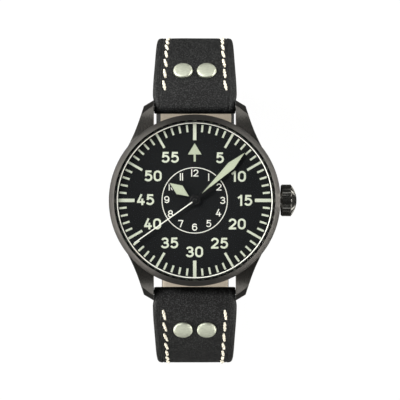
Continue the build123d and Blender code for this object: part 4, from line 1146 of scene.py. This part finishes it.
class WATCH_OT_rivets(bpy.types.Operator):
    """Two flat domed rivets through each strap half"""
    bl_idname = "watch.rivets"
    bl_label = "Rivets"

    def execute(self, context):
        sizes = context.scene.watch_strap
        radius, rise = sizes.rivet_radius, sizes.rivet_rise
        profile = [(0.0, RIVET_FOOT), (radius * 0.86, RIVET_FOOT), (radius * 0.985, RIVET_STEP)]
        profile += [(radius * across, rise * up) for across, up in RIVET_SHARES]
        head = linked("rivet_head", turned("rivet_head", profile, 56, sharp=60.0))
        outer = BEND_R + STRAP_HALF_THICK
        lean = asin((RIVET_Y - BEND_Y) / outer)
        spots, outs = [], []
        for side_y in (1, -1):
            for side_x in (1, -1):
                spots.append((side_x * RIVET_SPACING, side_y * (BEND_Y + outer * sin(lean)),
                              BEND_Z + outer * cos(lean)))
                outs.append((0.0, side_y * sin(lean), cos(lean)))
        mesh = bpy.data.meshes.new("rivet_places")
        mesh.from_pydata(spots, [], [])
        attribute = mesh.attributes.new("out", "FLOAT_VECTOR", "POINT")
        for index, direction in enumerate(outs):
            attribute.data[index].vector = direction
        places = linked("rivet_places", mesh)
        result = grown("strap_rivet_heads", rivets_tree(), {"Places": places, "Head": head})
        for used in (places, head):
            bpy.data.objects.remove(used)
        new_piece("strap_rivet_heads", result, "case", [], "rivet_steel", "strap_rivets")
        return {"FINISHED"}


# Keepers
KEEPER_HALF, KEEPER_WALL, KEEPER_CORNER = 9.25 * MM, 1.2 * MM, 1.0 * MM
KEEPER_INSIDE, KEEPER_OUTSIDE = 23.8 * MM, 30.45 * MM  # from the middle of the strap's bend
FREE_ANGLE, FREE_SPAN = radians(15.0), radians(16.0)  # the free keeper's place and width on the bend


def keeper_loop(name, span, place):
    """A leather loop with rounded corners; place turns (along, across, radial) into a point."""
    middle = KEEPER_WALL / 2
    side = KEEPER_HALF + middle - KEEPER_CORNER
    low, high = KEEPER_INSIDE - middle + KEEPER_CORNER, KEEPER_OUTSIDE + middle - KEEPER_CORNER
    path = []
    for x, w, start in ((side, high, 0), (-side, high, 90), (-side, low, 180), (side, low, 270)):
        path += ellipse(x, w, KEEPER_CORNER, KEEPER_CORNER, start, start + 90)
    # The section is a rounded oblong, squarer across the keeper's width than through its wall
    section = []
    for turn in range(0, 360, 20):
        c, s = cos(radians(turn)), sin(radians(turn))
        section.append((abs(c) ** 0.35 * (1 if c >= 0 else -1), abs(s) ** 0.6 * (1 if s >= 0 else -1)))
    bm = bmesh.new()
    rings = []
    count = len(path)
    for index, (x, w) in enumerate(path):
        before, after = path[index - 1], path[(index + 1) % count]
        along = Vector((after[0] - before[0], after[1] - before[1])).normalized()
        out = Vector((along.y, -along.x))
        rings.append([
            bm.verts.new(place(reach * span / 2, x + out.x * middle * height, w + out.y * middle * height))
            for reach, height in section])
    for (number, _), face in skin(bm, rings, loop=True).items():
        lined = path[number][1] < KEEPER_INSIDE and abs(path[number][0]) < KEEPER_HALF
        face.material_index = 1 if lined and path[(number + 1) % count][1] < KEEPER_INSIDE else 0
    return mesh_from(bm, name, 50.0)


class WATCH_OT_keepers(bpy.types.Operator):
    """Fixed keeper and sliding keeper"""
    bl_idname = "watch.keepers"
    bl_label = "Keepers"

    def execute(self, context):
        fixed_middle = middle_of("fixed_keeper")[1]
        middle_radius = (KEEPER_INSIDE + KEEPER_OUTSIDE) / 2

        def on_flat(along, across, radial):
            return Vector((across, fixed_middle + along, BEND_Z - radial))

        def on_bend(along, across, radial):
            turn = FREE_ANGLE + along / middle_radius
            return Vector((across, BEND_Y + radial * sin(turn), BEND_Z - radial * cos(turn)))

        for name, span, place, body, node in (
            ("keeper_fixed_loop", FIXED_HIGH.y - FIXED_LOW.y, on_flat, "case", "fixed_keeper"),
            ("keeper_free_loop", FREE_SPAN * middle_radius, on_bend, "free_keeper", "free_keeper"),
        ):
            mesh = keeper_loop(name, span, place)
            new_piece(name, mesh, body, ["leather", "lining"], "leather_black", node)
        return {"FINISHED"}


# Buckle
class WATCH_OT_buckle(bpy.types.Operator):
    """Pin buckle: frame, tongue and bar"""
    bl_idname = "watch.buckle"
    bl_label = "Buckle"

    def execute(self, context):
        for node, edge_break in (("buckle_frame", 0.3 * MM), ("buckle_tongue", 0.2 * MM)):
            mesh = refined(node + "_rounded", node, edge_break, 3)
            new_piece(node + "_rounded", mesh, node, ["brushed"], "case_black", node)
        dress("steel", "buckle_bar")
        return {"FINISHED"}


# Movement
class WATCH_OT_movement(bpy.types.Operator):
    """Finishes of the movement, stem and bars"""
    bl_idname = "watch.movement"
    bl_label = "Movement"

    def execute(self, context):
        dress("rhodium", "main_plate", "train_bridge", "balance_cock")
        dress("gilt", "mainspring_barrel", "centre_wheel", "third_wheel", "fourth_wheel", "minute_wheel",
              "hour_wheel", "balance_wheel")
        dress("steel", "barrel_arbor", "ratchet_wheel", "escape_wheel", "cannon_pinion", "minute_post",
              "hairspring", "pallet_fork", "crown_tube", "winding_stem", "sliding_pinion", "strap_bar_12",
              "strap_bar_6")
        return {"FINISHED"}


# Stage
WHITE = linear("ffffff")
PLAIN_LIGHT, WARM_LIGHT = (1.0, 1.0, 1.0), (1.0, 0.975, 0.935)
# Each lamp: place in metres, width, height, watts and tint
LAMPS = {
    "key_softbox": ((-0.42, 0.32, 0.55), 0.22, 0.22, 5.0, PLAIN_LIGHT),
    "left_softbox": ((-0.6, 0.0, 0.105), 2.3, 0.24, 20.5, WARM_LIGHT),
    "right_softbox": ((0.6, 0.0, 0.105), 2.3, 0.24, 18.0, WARM_LIGHT),
    "far_softbox": ((0.0, 0.6, 0.27), 0.3, 0.26, 0.5, PLAIN_LIGHT),
    "near_softbox": ((0.0, -0.6, 0.27), 0.3, 0.26, 0.5, PLAIN_LIGHT),
}
LAMP_TARGET = Vector((0.0, 0.0, 0.005))
WORLD_LIGHT, WORLD_MIRROR = 0.38, 0.12  # the room's light, and what metal and glass mirror of it
FLOOR_GAP, FLOOR_HALF = 0.05 * MM, 1.6
# The camera looks straight down; the picture is 400 pixels wide, at 4.095 pixels to a millimetre
PIXELS, PIXELS_PER_MM = 400, 4.095
SENSOR, CAMERA_DISTANCE = 36.0, 550 * MM
VIEW_MIDDLE = (5.3 / PIXELS_PER_MM * MM, 0.09 * MM, 9.75 * MM)


def add_lamp(name, place, width, height, energy, tint):
    """A soft rectangular lamp aimed at the watch."""
    lamp = bpy.data.lights.new(name, "AREA")
    lamp.shape = "RECTANGLE"
    lamp.size, lamp.size_y = width, height
    lamp.energy, lamp.color = energy, tint
    holder = linked(name, lamp)
    holder.location = place
    holder.rotation_euler = (LAMP_TARGET - Vector(place)).to_track_quat("-Z", "Y").to_euler()


def seen_as(tree, shader, rays, part, level):
    """Mix a shader with an even grey of this level for the rays of these kinds."""
    path = add_node(tree, "ShaderNodeLightPath")
    total = path.outputs[rays[0]]
    for kind in rays[1:]:
        total = add_node(tree, "ShaderNodeMath", {0: total, 1: path.outputs[kind]}, operation="MAXIMUM")
    share = add_node(tree, "ShaderNodeMath", {0: total, 1: part}, operation="MULTIPLY")
    even = add_node(tree, "ShaderNodeEmission", {"Color": WHITE, "Strength": level})
    return add_node(tree, "ShaderNodeMixShader", {0: share, 1: shader, 2: even})


class WATCH_OT_stage(bpy.types.Operator):
    """Floor, lamps, world and camera"""
    bl_idname = "watch.stage"
    bl_label = "Stage"

    def execute(self, context):
        scene = context.scene
        bm = bmesh.new()
        bmesh.ops.create_grid(bm, x_segments=2, y_segments=2, size=FLOOR_HALF)
        bmesh.ops.translate(bm, verts=bm.verts, vec=(0.0, 0.0, CAD_BOX[0][2] - FLOOR_GAP))
        floor = linked("table_top", to_mesh(bm, "table_top"))
        # White matt table top: it shows an even white and keeps the watch's shadow; to glossy rays it is a
        # near-black grey, so metal mirrors it dark as a painted reflection
        material, tree = blank_material("table_top_white")
        matt = add_node(tree, "ShaderNodeBsdfPrincipled", {
            "Base Color": scene.watch_colours.floor, "Roughness": 0.9, "Specular IOR Level": 0.1})
        painted_dark_reflection = seen_as(tree, matt, ("Is Glossy Ray",), 0.97, 0.03)
        white = seen_as(tree, painted_dark_reflection, ("Is Camera Ray", "Is Transmission Ray"), 0.96, 1.0)
        add_node(tree, "ShaderNodeOutputMaterial", {"Surface": white})
        floor.data.materials.append(material)

        world = bpy.data.worlds.new("studio")
        scene.world = world
        world.use_nodes = True
        tree = world.node_tree
        tree.nodes.clear()
        path = add_node(tree, "ShaderNodeLightPath").outputs
        seen = add_node(tree, "ShaderNodeMath", {
            0: path["Is Camera Ray"], 1: path["Is Transmission Ray"]}, operation="MAXIMUM")
        light, mirror, white = (
            add_node(tree, "ShaderNodeBackground", {"Color": WHITE, "Strength": strength})
            for strength in (WORLD_LIGHT, WORLD_MIRROR, 1.0))
        lit = add_node(tree, "ShaderNodeMixShader", {0: path["Is Glossy Ray"], 1: light, 2: mirror})
        shown = add_node(tree, "ShaderNodeMixShader", {0: seen, 1: lit, 2: white})
        add_node(tree, "ShaderNodeOutputWorld", {"Surface": shown})

        for name, lamp in LAMPS.items():
            add_lamp(name, *lamp)

        camera = bpy.data.cameras.new("camera")
        camera.sensor_width = SENSOR
        camera.lens = SENSOR * CAMERA_DISTANCE / (PIXELS / PIXELS_PER_MM * MM)
        camera.clip_start, camera.clip_end = 0.01, 20.0
        scene.camera = linked("camera", camera)
        scene.camera.location = (*VIEW_MIDDLE[:2], VIEW_MIDDLE[2] + CAMERA_DISTANCE)
        scene.view_settings.view_transform = "Standard"
        return {"FINISHED"}


class WATCH_PT_panel(bpy.types.Panel):
    """Buttons and sizes of the watch"""
    bl_idname = "WATCH_PT_panel"
    bl_label = "Pilot watch"
    bl_space_type = "VIEW_3D"
    bl_region_type = "UI"
    bl_category = "Watch"

    def draw(self, context):
        layout = self.layout
        for operator in OPERATORS:
            layout.operator(operator.bl_idname)
        for group in GROUPS:
            settings = getattr(context.scene, group)
            box = layout.box()
            for name in settings.bl_rna.properties.keys():
                if name not in ("rna_type", "name"):
                    box.prop(settings, name)


GROUPS = {
    "watch_case": WatchCaseSizes,
    "watch_dial": WatchDialSizes,
    "watch_strap": WatchStrapSizes,
    "watch_colours": WatchColours,
}
OPERATORS = (
    WATCH_OT_case, WATCH_OT_crown, WATCH_OT_dial, WATCH_OT_hands, WATCH_OT_strap, WATCH_OT_stitches,
    WATCH_OT_rivets, WATCH_OT_keepers, WATCH_OT_buckle, WATCH_OT_movement, WATCH_OT_stage,
)


def register():
    for kind in (*GROUPS.values(), *OPERATORS, WATCH_PT_panel):
        bpy.utils.register_class(kind)
    for name, group in GROUPS.items():
        setattr(bpy.types.Scene, name, PointerProperty(type=group))


def unregister():
    for name in GROUPS:
        delattr(bpy.types.Scene, name)
    for kind in reversed((*GROUPS.values(), *OPERATORS, WATCH_PT_panel)):
        bpy.utils.unregister_class(kind)


def main():
    register()
    bpy.ops.watch.case()
    bpy.ops.watch.crown()
    bpy.ops.watch.dial()
    bpy.ops.watch.hands()
    bpy.ops.watch.strap()
    bpy.ops.watch.stitches()
    bpy.ops.watch.rivets()
    bpy.ops.watch.keepers()
    bpy.ops.watch.buckle()
    bpy.ops.watch.movement()
    bpy.ops.watch.stage()


if __name__ == "__main__":
    main()
